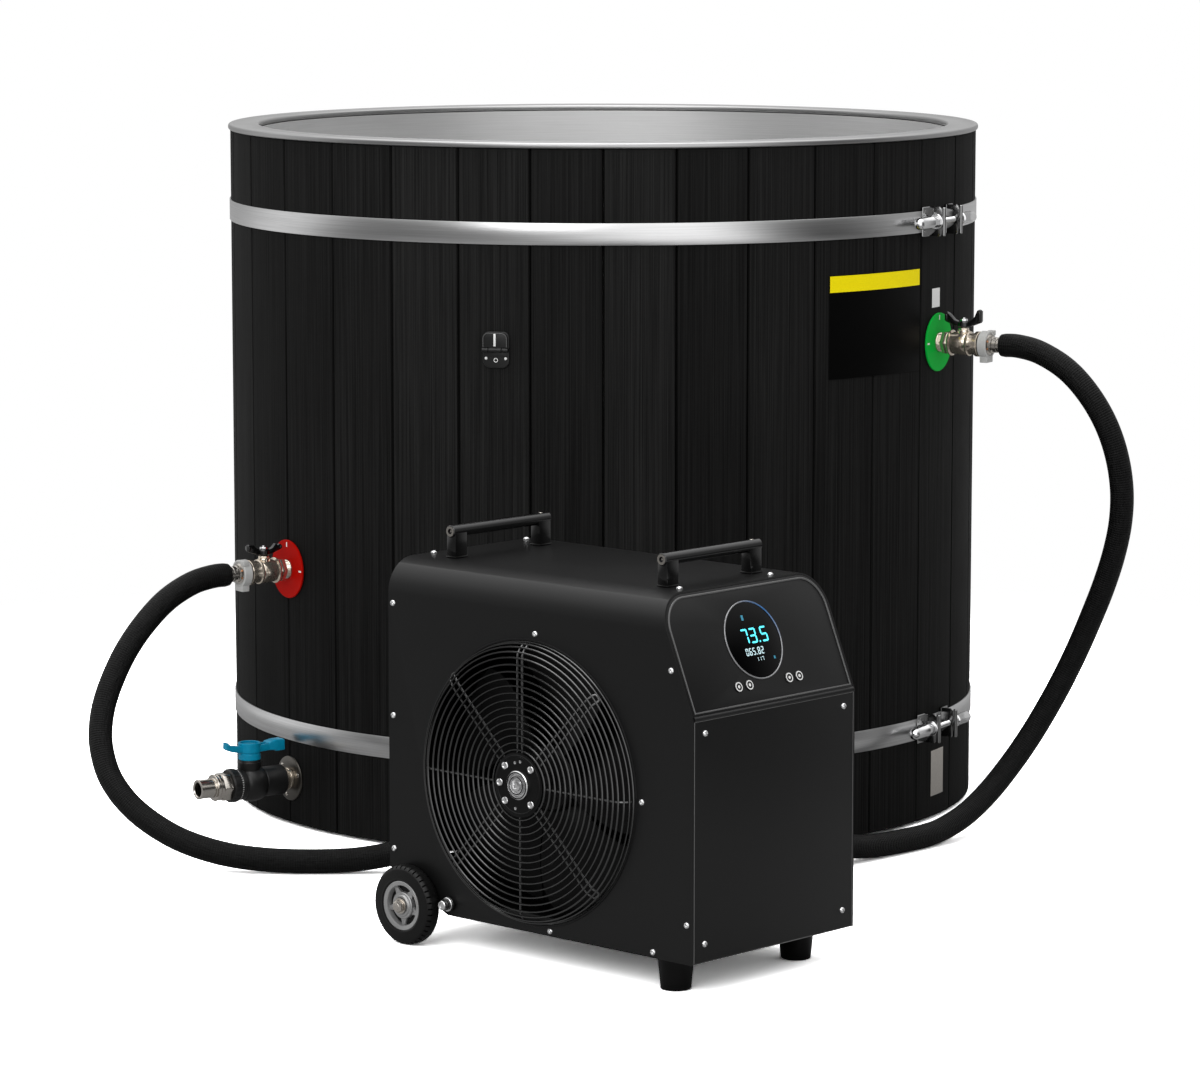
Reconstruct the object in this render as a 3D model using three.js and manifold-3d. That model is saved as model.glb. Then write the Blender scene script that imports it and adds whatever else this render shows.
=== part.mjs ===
// Barrel cold plunge tub, its water chiller and the two hoses that join them.
// Millimetres, +Z up. The tub's axis is Z and its bearers stand on Z = 0.
// Angles round the tub run from the front (-Y) towards the right (+X).

import * as THREE from 'three';
import { mergeVertices } from 'three/addons/utils/BufferGeometryUtils.js';
import Module from 'manifold-3d';

const wasm = await Module();
wasm.setup();

// Clearances
const fitGap = 0.3;
const boreClearance = 0.4;
const cutOverrun = 5;
const weldOverlap = 0.6;

// Tub
const tubRadius = 525;
const tubHeight = 942;
const staveThickness = 38;
const staveFootGap = 4;
const panelCount = 8;
const stavesPerPanel = 4;
const grooveWidth = 4;
const grooveDepth = 3;
const linerThickness = 2;
const rimHeight = 8;
const rimOverhang = 3;
const rimRound = 3;
const floorThickness = 20;
const bearerHeight = 18;
const bearerWidth = 60;
const bearerSpacing = 225;
const bearerEndMargin = 8;

// Bands and their clamps
const bandHeight = 29;
const bandThickness = 1.6;
const upperBandDrop = 111;
const lowerBandZ = 134;
const clampAngle = 59.7;
const lugSpacing = 52;
const lugHeight = 40;
const lugReach = 22;
const lugThickness = 4;
const lugCurlRadius = 3;
const lugFootLength = 20;
const lugFootThickness = 2.4;
const boltRadius = 4;
const boltStandOff = 12;
const nutHexRadius = 7.5;
const nutHexLength = 16;
const nutDomeRadius = 8.7;
const nutDomeLength = 42;

// Fittings on the staves
const signFromAngle = 34.8;
const signToAngle = 54.6;
const signDrop = 173;
const signHeight = 139;
const signThickness = 1.2;
const catchAngle = -15.5;
const catchDrop = 264;
const catchWidth = 36;
const catchHeight = 48;
const catchPlateThickness = 3;
const catchHingeRadius = 3;
const catchPinRadius = 1.5;
const catchFlapHeight = 23;
const catchFlapThickness = 7;

// Water valves
const supplyAngle = 60.4;
const supplyDrop = 278;
const returnAngle = -54.9;
const returnZ = 357;
const discRadius = 40;
const discThickness = 3;
const nippleRadius = 13;
const nippleLength = 14;
const valveCollarRadius = 16.5;
const valveCollarLength = 6;
const valveWaistRadius = 14.5;
const valveBallRadius = 16;
const valveBallLength = 20;
const valveLength = 62;
const valveBore = 8;
const valveStemAt = 36;
const valveStemRadius = 4.5;
const valveHandleZ = 22;
const valveHandleReach = 27;
const valveHandleWidth = 16;
const valveHandleThickness = 5;
const valveWingRise = 12;
const valveWingHeight = 8;
const unionRadius = 18.4;
const unionLength = 14;
const unionLugWidth = 14;
const unionLugHeight = 6;
const hoseTailRadius = 10;
const hoseTailLength = 17;
const hoseRadius = 16;

// Drain
const drainZ = 66;
const drainFlangeRadius = 31;
const drainFlangeThickness = 3;
const drainPipeRadius = 11;
const drainNippleRadius = 15;
const drainNippleLength = 11;
const drainSleeveRadius = 20.5;
const drainSleeveLength = 33;
const drainWaistRadius = 22;
const drainWaistLength = 32;
const drainUnionRadius = 25;
const drainBodyLength = 97;
const drainStemAt = 62;
const drainBonnetRadius = 16;
const drainBonnetTop = 33;
const drainLeverHub = 15.5;
const drainLeverHubHeight = 24;
const drainLeverArmZ = 44;
const drainLeverArmHeight = 11;
const drainLeverOut = 39;
const drainLeverIn = 52;
const drainLeverWidth = 12;
const drainPaddleLength = 26;
const drainPaddleWidth = 17;
const drainPaddleHeight = 15;
const drainHexRadius = 20;
const drainHexLength = 14;
const drainCollarRadius = 18;
const drainCollarLength = 9;
const drainSpoutRadius = 13;
const drainSpoutLength = 24;

// Chiller cabinet
const chillerYaw = 43;
const chillerOffsetX = 19;
const chillerStandOff = 529;
const cabinetLength = 500;
const cabinetDepth = 290;
const cabinetTopZ = 471;
const cabinetBottomZ = 42;
const cabinetRoll = 42;
const sheet = 2;
const kinkZ = 332;
const slopeRun = 58;
const cornerCutLength = 100;
const cornerCutHeight = 47;
const trayLip = 22;

// Fan
const fanX = -12;
const fanZ = 224;
const fanRadius = 172;
const grilleDepth = 18;
const grilleWire = 3.2;
const grilleRings = 8;
const grilleSpokes = 8;
const grilleHubRadius = 38;
const grilleHubOverlap = 6;
const rotorRadius = 160;
const rotorHubRadius = 40;
const rotorWidth = 34;
const rotorBlades = 5;
const bladeThickness = 3;
const bladePitch = 24;
const bladeRootRadius = 20;
const bladeRootWidth = 32;
const bladeTipWidth = 90;
const bladeTipInset = 16;
const rotorSetback = 30;
const motorRadius = 46;
const motorLength = 62;
const motorShaftRadius = 6;
const motorStrutWidth = 46;
const motorStrutDepth = 20;

// Inside the cabinet
const coilWidth = 300;
const coilHeight = 300;
const coilDepth = 24;
const coilEndGap = 40;
const coilStandOff = 10;
const coilHeaderRadius = 8;
const intakeSlots = 12;
const intakeSlotHeight = 10;
const intakeSlotPitch = 22;
const compressorEndGap = 13;
const compressorY = 20;
const compressorRadius = 52;
const compressorHeight = 190;
const compressorShoulder = 20;
const exchangerX = 30;
const exchangerCoilGap = 18;
const exchangerRadius = 40;
const exchangerHeight = 130;
const exchangerShoulder = 14;
const pumpCornerGap = 25;
const pumpY = 30;
const pumpRadius = 38;
const pumpLength = 92;
const pumpSaddleWidth = 50;
const pumpOutletLength = 46;
const footingHeight = 8;

// Display and buttons
const displayRadius = 47;
const displayZ = 406;
const displayOffset = -5;
const displayThickness = 5;
const buttonRadius = 6.3;
const buttonZ = 358;
const buttonOffsets = [-54, -35, 36, 54];
const buttonProud = 1.6;

// Handles, wheels and feet
const handleLength = 172;
const handleRadius = 7.5;
const handleRise = 33;
const handlePostLength = 20;
const handlePostWidth = 15;
const handlePostInset = 12;
const handleOffset = -6;
const leftHandleEndGap = 54;
const rightHandleEndGap = 98;
const wheelRadius = 49;
const wheelWidth = 22;
const wheelShoulder = 4;
const wheelRimRadius = 34;
const wheelHubRadius = 13;
const wheelEndGap = 43;
const wheelSpokes = 5;
const wheelSpokeWidth = 9;
const wheelSpokeDepth = 11;
const axleRadius = 6;
const axleNutRadius = 9;
const axleNutLength = 7;
const axleHangerWidth = 26;
const axleHangerThickness = 4;
const footRadius = 22;
const footTipRadius = 18;
const footEndGap = 59;
const footInset = 37;
const spigotEndGap = 105;
const spigotRadius = 6;
const spigotLength = 16;
const spigotCollarRadius = 9;
const spigotCollarLength = 5;
const spigotZ = 57;

// Ports for the hoses on the cabinet's rear
const portZ = 125;
const returnPortEndGap = 50;
const portSpacing = 60;
const portRadius = 15;
const portFlangeRadius = 20;
const portFlangeLength = 12;
const portInsideLength = 8;
const elbowReach = 61;
const elbowArm = 40;
const supplyPortLength = 60;

// Hose routes: points chosen by hand, in the tub's frame
const supplyHosePoints = [
  [541.2, -307.4, 664], [562, -319.5, 664], [591, -336.5, 656.5], [625, -356, 635.5], [653.5, -371, 603.5],
  [676, -380, 564.5], [691, -382.5, 521], [698.5, -379.5, 475], [698, -372, 429.5], [690.5, -361.5, 383.5],
  [678.5, -350, 338.5], [663.5, -339, 294], [646.5, -330.5, 249.5], [627, -325.5, 206], [604.5, -325.5, 163.5],
  [579.5, -332, 123.5], [551.5, -345.5, 87], [522, -366.5, 56], [490.5, -395, 33], [457.5, -428, 20],
  [431.5, -455.5, 16.5], [405, -483, 16.5], [377.5, -510, 17], [350, -536.5, 19], [319, -564.5, 25],
  [288, -591.5, 35], [258, -617.5, 49], [228.5, -642.5, 65], [199.5, -667.5, 82], [171, -693.5, 97.5],
  [142, -720.5, 111], [112.5, -749.5, 120.5], [84, -779, 125], [56.6, -808.4, 125],
];
const returnHosePoints = [
  [-509.1, -357.8, 357], [-528.5, -371.5, 356.5], [-555, -392, 350], [-585, -416.5, 332.5], [-611.5, -440, 306],
  [-634.5, -461.5, 274], [-652, -482.5, 238.5], [-664, -504, 201], [-666.5, -526, 163], [-657, -548, 127],
  [-640.5, -565, 100.5], [-617, -580, 77.5], [-589.5, -592.5, 59], [-558, -602.5, 43], [-523.5, -610.5, 31.5],
  [-488, -615.5, 23.5], [-451, -618.5, 19], [-417.5, -619.5, 17], [-383.5, -620, 16.5], [-350, -619.5, 17],
  [-316.5, -619.5, 19.5], [-277.5, -620, 26.5], [-239, -623, 38.5], [-203, -628.5, 55], [-168.5, -637.5, 73],
  [-135.5, -651, 91.5], [-103.5, -668.5, 107.5], [-72, -690.5, 119], [-42.5, -715, 125], [-16.2, -739.5, 125],
];
const hoseSides = 10;
const hoseSteps = 36;

// Round counts
const facetsPerStave = 2;
const fineRound = 32;
const round = 16;
const smallRound = 12;
const hexSides = 6;
const rollSteps = 7;

// Sizes that follow
const turn = Math.PI * 2;
const quarter = Math.PI / 2;
const rad = THREE.MathUtils.degToRad;
const panelAngle = turn / panelCount;
const staveAngle = panelAngle / stavesPerPanel;
const facetAngle = staveAngle / facetsPerStave;
const facetCount = panelCount * stavesPerPanel * facetsPerStave;
const staveInnerRadius = tubRadius - staveThickness;
const linerOuterRadius = staveInnerRadius - fitGap;
const linerInnerRadius = linerOuterRadius - linerThickness;
const floorBottomZ = bearerHeight + fitGap;
const linerBottomZ = floorBottomZ + floorThickness + fitGap;
const facetRadius = tubRadius * Math.cos(facetAngle / 2);
const bandInnerRadius = tubRadius + fitGap;
const bandOuterRadius = bandInnerRadius + bandThickness;
const boltRadiusFromAxis = bandOuterRadius + boltStandOff;
const halfLength = cabinetLength / 2;
const halfDepth = cabinetDepth / 2;
const slopeAngle = Math.atan2(slopeRun, cabinetTopZ - kinkZ);
const cornerX = -halfLength + cornerCutLength;
const upperBandZ = tubHeight - upperBandDrop;
const signTopZ = tubHeight - signDrop;
const catchZ = tubHeight - catchDrop;
const supplyZ = tubHeight - supplyDrop;
const coilX = halfLength - coilEndGap - coilWidth / 2;
const coilBackY = halfDepth - sheet - fitGap - sheet - coilStandOff;
const compressorX = halfLength - compressorEndGap - compressorRadius;
const exchangerY = coilBackY - coilDepth - exchangerCoilGap - exchangerRadius;
const pumpX = cornerX + pumpCornerGap + pumpSaddleWidth / 2;
const leftHandleX = -halfLength + leftHandleEndGap;
const rightHandleX = halfLength - rightHandleEndGap;
const wheelX = -halfLength + wheelEndGap;
const footX = halfLength - footEndGap;
const spigotX = -halfLength + spigotEndGap;
const returnPortX = -halfLength + returnPortEndGap;
const supplyPortX = returnPortX + portSpacing;

// Materials
function finish(color, roughness, metalness) {
  return new THREE.MeshStandardMaterial({ color, roughness, metalness });
}

const materials = {
  stainedWood: finish(0x1b1b1b, 0.7, 0),
  rawWood: finish(0x5a4a38, 0.8, 0),
  satinSteel: finish(0xb8b8b8, 0.35, 1),
  bandSteel: finish(0xc2c2c4, 0.3, 1),
  polishedSteel: finish(0xd0d0d2, 0.15, 1),
  nickel: finish(0xb3a898, 0.25, 1),
  blackPlastic: finish(0x151515, 0.45, 0),
  greyPlastic: finish(0xc9c9c9, 0.5, 0),
  blueHandle: finish(0x1390b8, 0.4, 0),
  greenDisc: finish(0x1d9a45, 0.4, 0),
  redDisc: finish(0xc4241b, 0.4, 0),
  signFace: finish(0x111111, 0.5, 0),
  hose: finish(0x161616, 0.7, 0),
  blackCoat: finish(0x1a1a1a, 0.45, 0.3),
  blackWire: finish(0x0d0d0d, 0.35, 0.4),
  displayGlass: finish(0x030303, 0.08, 0),
  buttonCap: finish(0x202020, 0.4, 0),
  copperCoil: finish(0x9a9a9a, 0.4, 0.9),
  compressorPaint: finish(0x121212, 0.4, 0.2),
  rubber: finish(0x141414, 0.8, 0),
};

// Geometry helpers
function faceOut(geometry) {
  const bare = geometry.clone();
  bare.deleteAttribute('normal');
  bare.deleteAttribute('uv');
  const merged = mergeVertices(bare);
  const place = merged.attributes.position;
  const order = Array.from(merged.index.array);
  const a = new THREE.Vector3();
  const b = new THREE.Vector3();
  const c = new THREE.Vector3();
  const kept = [];
  let volume = 0;
  for (let i = 0; i < order.length; i += 3) {
    const [p, q, r] = [order[i], order[i + 1], order[i + 2]];
    if (p === q || q === r || r === p) continue;
    a.fromBufferAttribute(place, p);
    b.fromBufferAttribute(place, q);
    c.fromBufferAttribute(place, r);
    volume += a.dot(b.cross(c));
    kept.push(p, q, r);
  }
  if (volume < 0) kept.reverse();
  merged.setIndex(kept);
  return merged;
}

function toSolid(geometry) {
  const closed = faceOut(geometry);
  const vertProperties = new Float32Array(closed.attributes.position.array);
  const triVerts = new Uint32Array(closed.index.array);
  return new wasm.Manifold(new wasm.Mesh({ numProp: 3, vertProperties, triVerts }));
}

function toGeometry(solid) {
  const mesh = solid.getMesh();
  const geometry = new THREE.BufferGeometry();
  geometry.setAttribute('position', new THREE.BufferAttribute(new Float32Array(mesh.vertProperties), 3));
  geometry.setIndex(Array.from(mesh.triVerts));
  return geometry;
}

function join(...shapes) {
  return toGeometry(shapes.map(toSolid).reduce((whole, next) => whole.add(next)));
}

function cut(base, ...tools) {
  return toGeometry(tools.map(toSolid).reduce((whole, tool) => whole.subtract(tool), toSolid(base)));
}

function common(base, tool) {
  return toGeometry(toSolid(base).intersect(toSolid(tool)));
}

// A profile of [radius, height] pairs turned about Z
function turnedZ(profile, segments) {
  const points = profile.map(([radius, height]) => new THREE.Vector2(radius, height));
  return faceOut(new THREE.LatheGeometry(points, segments).rotateX(quarter));
}

// The same profile turned about X, with height along +X
function turnedX(profile, segments) {
  return turnedZ(profile, segments).rotateY(quarter);
}

// The same profile turned about Y, with height along +Y
function turnedY(profile, segments) {
  return turnedZ(profile, segments).rotateX(-quarter);
}

function rod(radius, length, segments) {
  return [[0, 0], [radius, 0], [radius, length], [0, length]];
}

function block(fromX, toX, fromY, toY, fromZ, toZ) {
  const box = new THREE.BoxGeometry(toX - fromX, toY - fromY, toZ - fromZ);
  return box.translate((fromX + toX) / 2, (fromY + toY) / 2, (fromZ + toZ) / 2);
}

function outline(points) {
  return new THREE.Shape(points.map(([x, y]) => new THREE.Vector2(x, y)));
}

// An outline in X and Y raised along +Z
function raised(points, height) {
  return faceOut(new THREE.ExtrudeGeometry(outline(points), { depth: height, bevelEnabled: false }));
}

// An outline in X and Z drawn along Y from fromY to toY
function drawnY(points, fromY, toY) {
  const length = toY - fromY;
  return raised(points, length).rotateX(quarter).translate(0, fromY + length, 0);
}

// An outline in Y and Z drawn along X from fromX to toX
function drawnX(points, fromX, toX) {
  const length = toX - fromX;
  const upright = new THREE.Matrix4().set(0, 0, 1, fromX, 1, 0, 0, 0, 0, 1, 0, 0, 0, 0, 0, 1);
  return raised(points, length).applyMatrix4(upright);
}

function onCircle(radius, angle) {
  return [radius * Math.sin(angle), -radius * Math.cos(angle)];
}

// Angles of the ring's corners between two ends, the ends included
function cornerAngles(from, to) {
  const angles = [from];
  const first = Math.floor(from / facetAngle) + 1;
  const last = Math.ceil(to / facetAngle) - 1;
  for (let i = first; i <= last; i += 1) angles.push(i * facetAngle);
  angles.push(to);
  return angles;
}

// Distance of the faceted ring's wall from the axis at an angle
function wallRadius(radius, angle) {
  const middle = Math.floor(angle / facetAngle) * facetAngle + facetAngle / 2;
  return (radius * Math.cos(facetAngle / 2)) / Math.cos(angle - middle);
}

// A stretch of the faceted ring
function ringWall(innerRadius, outerRadius, from, to, low, high) {
  const angles = cornerAngles(from, to);
  const outer = angles.map((angle) => onCircle(wallRadius(outerRadius, angle), angle));
  const inner = angles.map((angle) => onCircle(wallRadius(innerRadius, angle), angle)).reverse();
  return raised([...outer, ...inner], high - low).translate(0, 0, low);
}

function tube(points, radius, sides, steps) {
  const curve = new THREE.CatmullRomCurve3(points.map((point) => new THREE.Vector3(...point)));
  const corners = [];
  for (let i = 0; i < sides; i += 1) {
    corners.push([radius * Math.cos((turn * i) / sides), radius * Math.sin((turn * i) / sides)]);
  }
  const settings = { steps, extrudePath: curve, bevelEnabled: false };
  return faceOut(new THREE.ExtrudeGeometry(outline(corners), settings));
}

// Scene helpers
const product = new THREE.Group();

function addPiece(parent, name, geometry, material) {
  const mesh = new THREE.Mesh(geometry, material);
  mesh.name = name;
  parent.add(mesh);
  return mesh;
}

// A group on the tub's wall: +X points out of the wall, +Y round to the right
function wallGroup(angle, height) {
  const group = new THREE.Group();
  group.rotation.z = angle - quarter;
  group.position.z = height;
  product.add(group);
  group.updateMatrixWorld(true);
  return group;
}

// Tub shell
const wallPorts = [
  { group: wallGroup(rad(supplyAngle), supplyZ), radius: nippleRadius + boreClearance },
  { group: wallGroup(rad(returnAngle), returnZ), radius: nippleRadius + boreClearance },
  { group: wallGroup(rad(returnAngle), drainZ), radius: drainPipeRadius + boreClearance },
];
const [supplyGroup, returnGroup, drainGroup] = wallPorts.map((port) => port.group);

function portDrills() {
  const length = staveThickness + cutOverrun * 2;
  return wallPorts.map(({ group, radius }) => {
    const drill = turnedX(rod(radius, length), round).translate(staveInnerRadius - cutOverrun * 2, 0, 0);
    return drill.applyMatrix4(group.matrixWorld);
  });
}

function stavePanel(index) {
  const from = index * panelAngle;
  const endGap = fitGap / 2 / tubRadius;
  const groove = grooveWidth / 2 / tubRadius;
  const grooveRadius = tubRadius - grooveDepth;
  const outer = [onCircle(grooveRadius, from + endGap)];
  for (let stave = 0; stave < stavesPerPanel; stave += 1) {
    const start = from + stave * staveAngle;
    const end = start + staveAngle;
    if (stave > 0) outer.push(onCircle(grooveRadius, start));
    outer.push(onCircle(tubRadius, start + groove));
    outer.push(onCircle(tubRadius, start + facetAngle));
    outer.push(onCircle(tubRadius, end - groove));
  }
  outer.push(onCircle(grooveRadius, from + panelAngle - endGap));
  const corners = cornerAngles(from + endGap, from + panelAngle - endGap);
  const inner = corners.map((angle) => onCircle(wallRadius(staveInnerRadius, angle), angle)).reverse();
  return raised([...outer, ...inner], tubHeight - staveFootGap).translate(0, 0, staveFootGap);
}

function buildTubShell() {
  const drills = portDrills();
  for (let index = 0; index < panelCount; index += 1) {
    addPiece(product, `stave_panel_${index + 1}`, cut(stavePanel(index), ...drills), materials.stainedWood);
  }
  const linerTopZ = tubHeight - fitGap;
  const liner = turnedZ([
    [0, linerBottomZ], [linerOuterRadius, linerBottomZ], [linerOuterRadius, linerTopZ],
    [linerInnerRadius, linerTopZ], [linerInnerRadius, linerBottomZ + linerThickness],
    [0, linerBottomZ + linerThickness],
  ], facetCount);
  addPiece(product, 'liner', cut(liner, ...drills), materials.satinSteel);

  const rimOuter = tubRadius + rimOverhang;
  const rimBottom = tubHeight + fitGap;
  const rimTop = rimBottom + rimHeight;
  const rim = turnedZ([
    [linerInnerRadius, rimBottom], [rimOuter - rimRound, rimBottom], [rimOuter, rimBottom + rimRound],
    [rimOuter, rimTop - rimRound], [rimOuter - rimRound, rimTop], [linerInnerRadius + rimRound, rimTop],
    [linerInnerRadius, rimTop - rimRound], [linerInnerRadius, rimBottom],
  ], facetCount);
  addPiece(product, 'rim_ring', rim, materials.satinSteel);

  const floorRadius = staveInnerRadius - fitGap;
  const board = turnedZ([
    [0, floorBottomZ], [floorRadius, floorBottomZ],
    [floorRadius, floorBottomZ + floorThickness], [0, floorBottomZ + floorThickness],
  ], facetCount);
  addPiece(product, 'floor_board', board, materials.rawWood);

  const bearerRadius = facetRadius - staveThickness - bearerEndMargin;
  const bearers = [-1, 0, 1].map((side) => {
    const edge = Math.abs(side) * bearerSpacing + bearerWidth / 2;
    const reach = Math.sqrt(bearerRadius ** 2 - edge ** 2);
    const x = side * bearerSpacing;
    return block(x - bearerWidth / 2, x + bearerWidth / 2, -reach, reach, 0, bearerHeight);
  });
  const span = bearerSpacing + bearerWidth / 2;
  const tie = block(-span, span, -bearerWidth / 2, bearerWidth / 2, 0, bearerHeight);
  addPiece(product, 'base_frame', join(...bearers, tie), materials.rawWood);
}

// Bands with lugs for the clamp bolt
function band(middleZ) {
  const clamp = rad(clampAngle);
  const halfGap = lugSpacing / 2 / bandOuterRadius;
  const low = middleZ - bandHeight / 2;
  const strip = ringWall(bandInnerRadius, bandOuterRadius, clamp + halfGap, clamp + turn - halfGap,
    low, low + bandHeight);
  const lugLow = middleZ - lugHeight / 2;
  const lugAngle = lugSpacing / 2 / bandOuterRadius;
  const footAngle = lugFootLength / bandOuterRadius;
  const root = Math.sqrt(bandInnerRadius ** 2 - (lugSpacing / 2) ** 2);
  const pieces = [strip];
  for (const side of [-1, 1]) {
    const near = clamp + side * lugAngle;
    const far = clamp + side * (lugAngle + footAngle);
    pieces.push(ringWall(bandOuterRadius - weldOverlap, bandOuterRadius + lugFootThickness,
      Math.min(near, far), Math.max(near, far), lugLow, lugLow + lugHeight));
    const middle = (side * lugSpacing) / 2;
    const plate = block(root, bandOuterRadius + lugReach, middle - lugThickness / 2,
      middle + lugThickness / 2, lugLow, lugLow + lugHeight);
    const curl = turnedZ(rod(lugCurlRadius, lugHeight), smallRound)
      .translate(bandOuterRadius + lugReach, middle, lugLow);
    pieces.push(...[plate, curl].map((piece) => piece.rotateZ(clamp - quarter)));
  }
  const drillLength = lugSpacing + cutOverrun * 2;
  const drill = turnedY(rod(boltRadius + boreClearance, drillLength), smallRound)
    .translate(boltRadiusFromAxis, -drillLength / 2, middleZ)
    .rotateZ(clamp - quarter);
  return cut(join(...pieces), drill);
}

function clampBolt() {
  const seat = lugSpacing / 2 + lugThickness / 2 + fitGap;
  const hexEnd = seat + nutHexLength;
  const domeStart = hexEnd + nutDomeLength - nutDomeRadius;
  const domeShare = Math.SQRT1_2;
  const shank = turnedY(rod(boltRadius, seat * 2), smallRound).translate(0, -seat, 0);
  const pieces = [shank];
  for (const side of [-1, 1]) {
    const hex = turnedY([[0, seat], [nutHexRadius, seat], [nutHexRadius, hexEnd], [0, hexEnd]], hexSides);
    const dome = turnedY([
      [0, hexEnd - weldOverlap], [nutDomeRadius, hexEnd - weldOverlap], [nutDomeRadius, domeStart],
      [nutDomeRadius * domeShare, domeStart + nutDomeRadius * domeShare], [0, domeStart + nutDomeRadius],
    ], smallRound);
    for (const piece of [hex, dome]) pieces.push(side < 0 ? piece.rotateZ(turn / 2) : piece);
  }
  return join(...pieces);
}

function buildBands() {
  for (const [name, middleZ] of [['upper', upperBandZ], ['lower', lowerBandZ]]) {
    addPiece(product, `${name}_band`, band(middleZ), materials.bandSteel);
    const bolt = addPiece(wallGroup(rad(clampAngle), middleZ), `${name}_clamp_bolt`, clampBolt(),
      materials.polishedSteel);
    bolt.position.x = boltRadiusFromAxis;
  }
}

// Sign plate and lid catch
function buildWallPlates() {
  const signInner = tubRadius + fitGap;
  const sign = ringWall(signInner, signInner + signThickness, rad(signFromAngle), rad(signToAngle),
    signTopZ - signHeight, signTopZ);
  addPiece(product, 'sign_plate', sign, materials.signFace);

  const group = wallGroup(rad(catchAngle), catchZ);
  const seat = tubRadius + fitGap;
  const front = seat + catchPlateThickness;
  const hingeX = front + catchHingeRadius + fitGap;
  const knuckleWidth = catchWidth / 4;
  const plate = block(seat, front, -catchWidth / 2, catchWidth / 2, -catchHeight / 2, catchHeight / 2);
  const knuckles = [-1, 1].map((side) => {
    const outer = (side * catchWidth) / 2;
    const inner = outer - side * knuckleWidth;
    return block(front - weldOverlap, hingeX + catchHingeRadius, Math.min(outer, inner),
      Math.max(outer, inner), -catchHingeRadius, catchHingeRadius);
  });
  const pin = turnedY(rod(catchPinRadius, catchWidth - knuckleWidth), smallRound)
    .translate(hingeX, (knuckleWidth - catchWidth) / 2, 0);
  addPiece(group, 'catch_plate', join(plate, ...knuckles, pin), materials.blackPlastic);

  const flapHalf = catchWidth / 2 - knuckleWidth - fitGap;
  const barrel = turnedY(rod(catchHingeRadius, flapHalf * 2), smallRound).translate(0, -flapHalf, 0);
  const leaf = block(-catchHingeRadius, catchFlapThickness - catchHingeRadius, -flapHalf, flapHalf,
    0, catchFlapHeight);
  const bore = turnedY(rod(catchPinRadius + boreClearance, catchWidth), smallRound)
    .translate(0, -catchWidth / 2, 0);
  const flap = addPiece(group, 'catch_flap', cut(join(barrel, leaf), bore), materials.blackPlastic);
  flap.position.x = hingeX;
}

// A water valve: disc, body with stem, butterfly handle and hose union
function buildValve(group, name, discMaterial) {
  const seat = tubRadius + fitGap;
  const face = seat + discThickness;
  const disc = cut(turnedX(rod(discRadius, discThickness), fineRound).translate(seat, 0, 0),
    turnedX(rod(nippleRadius + boreClearance, discThickness + cutOverrun * 2), round)
      .translate(seat - cutOverrun, 0, 0));
  addPiece(group, `${name}_disc`, disc, discMaterial);

  const start = face + fitGap;
  const end = start + valveLength;
  const stemX = start + valveStemAt;
  const innerEnd = linerInnerRadius - linerThickness;
  const collarEnd = start + nippleLength + valveCollarLength;
  const body = turnedX([
    [valveBore, innerEnd], [nippleRadius, innerEnd], [nippleRadius, start + nippleLength],
    [valveCollarRadius, start + nippleLength], [valveCollarRadius, collarEnd],
    [valveWaistRadius, collarEnd], [valveBallRadius, stemX - valveBallLength / 2],
    [valveBallRadius, stemX + valveBallLength / 2], [valveWaistRadius, end - valveCollarLength],
    [valveCollarRadius, end - valveCollarLength], [valveCollarRadius, end], [valveBore, end],
    [valveBore, innerEnd],
  ], round);
  const stemBottom = valveBore + fitGap;
  const stem = turnedZ(rod(valveStemRadius, valveHandleZ - fitGap - stemBottom), smallRound)
    .translate(stemX, 0, stemBottom);
  addPiece(group, `${name}_valve_body`, join(body, stem), materials.nickel);

  const halfWidth = valveHandleWidth / 2;
  const low = valveHandleZ;
  const high = low + valveHandleThickness;
  const wingLow = low + valveWingRise;
  const wings = drawnY([
    [-halfWidth, low], [halfWidth, low], [valveHandleReach, wingLow],
    [valveHandleReach, wingLow + valveWingHeight], [halfWidth, high],
    [-halfWidth, high], [-valveHandleReach, wingLow + valveWingHeight], [-valveHandleReach, wingLow],
  ], -halfWidth, halfWidth);
  const handle = addPiece(group, `${name}_valve_handle`, wings, materials.blackPlastic);
  handle.position.x = stemX;

  const unionStart = end + fitGap;
  const ringEnd = unionStart + unionLength;
  const tailEnd = ringEnd + hoseTailLength;
  const union = turnedX([
    [valveBore, unionStart], [unionRadius, unionStart], [unionRadius, ringEnd], [hoseTailRadius, ringEnd],
    [hoseTailRadius, tailEnd], [valveBore, tailEnd], [valveBore, unionStart],
  ], round);
  const lug = block(unionStart, ringEnd, -unionLugWidth / 2, unionLugWidth / 2,
    -unionRadius - unionLugHeight, -hoseTailRadius);
  addPiece(group, `${name}_hose_union`, join(union, lug), materials.greyPlastic);
}

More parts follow.
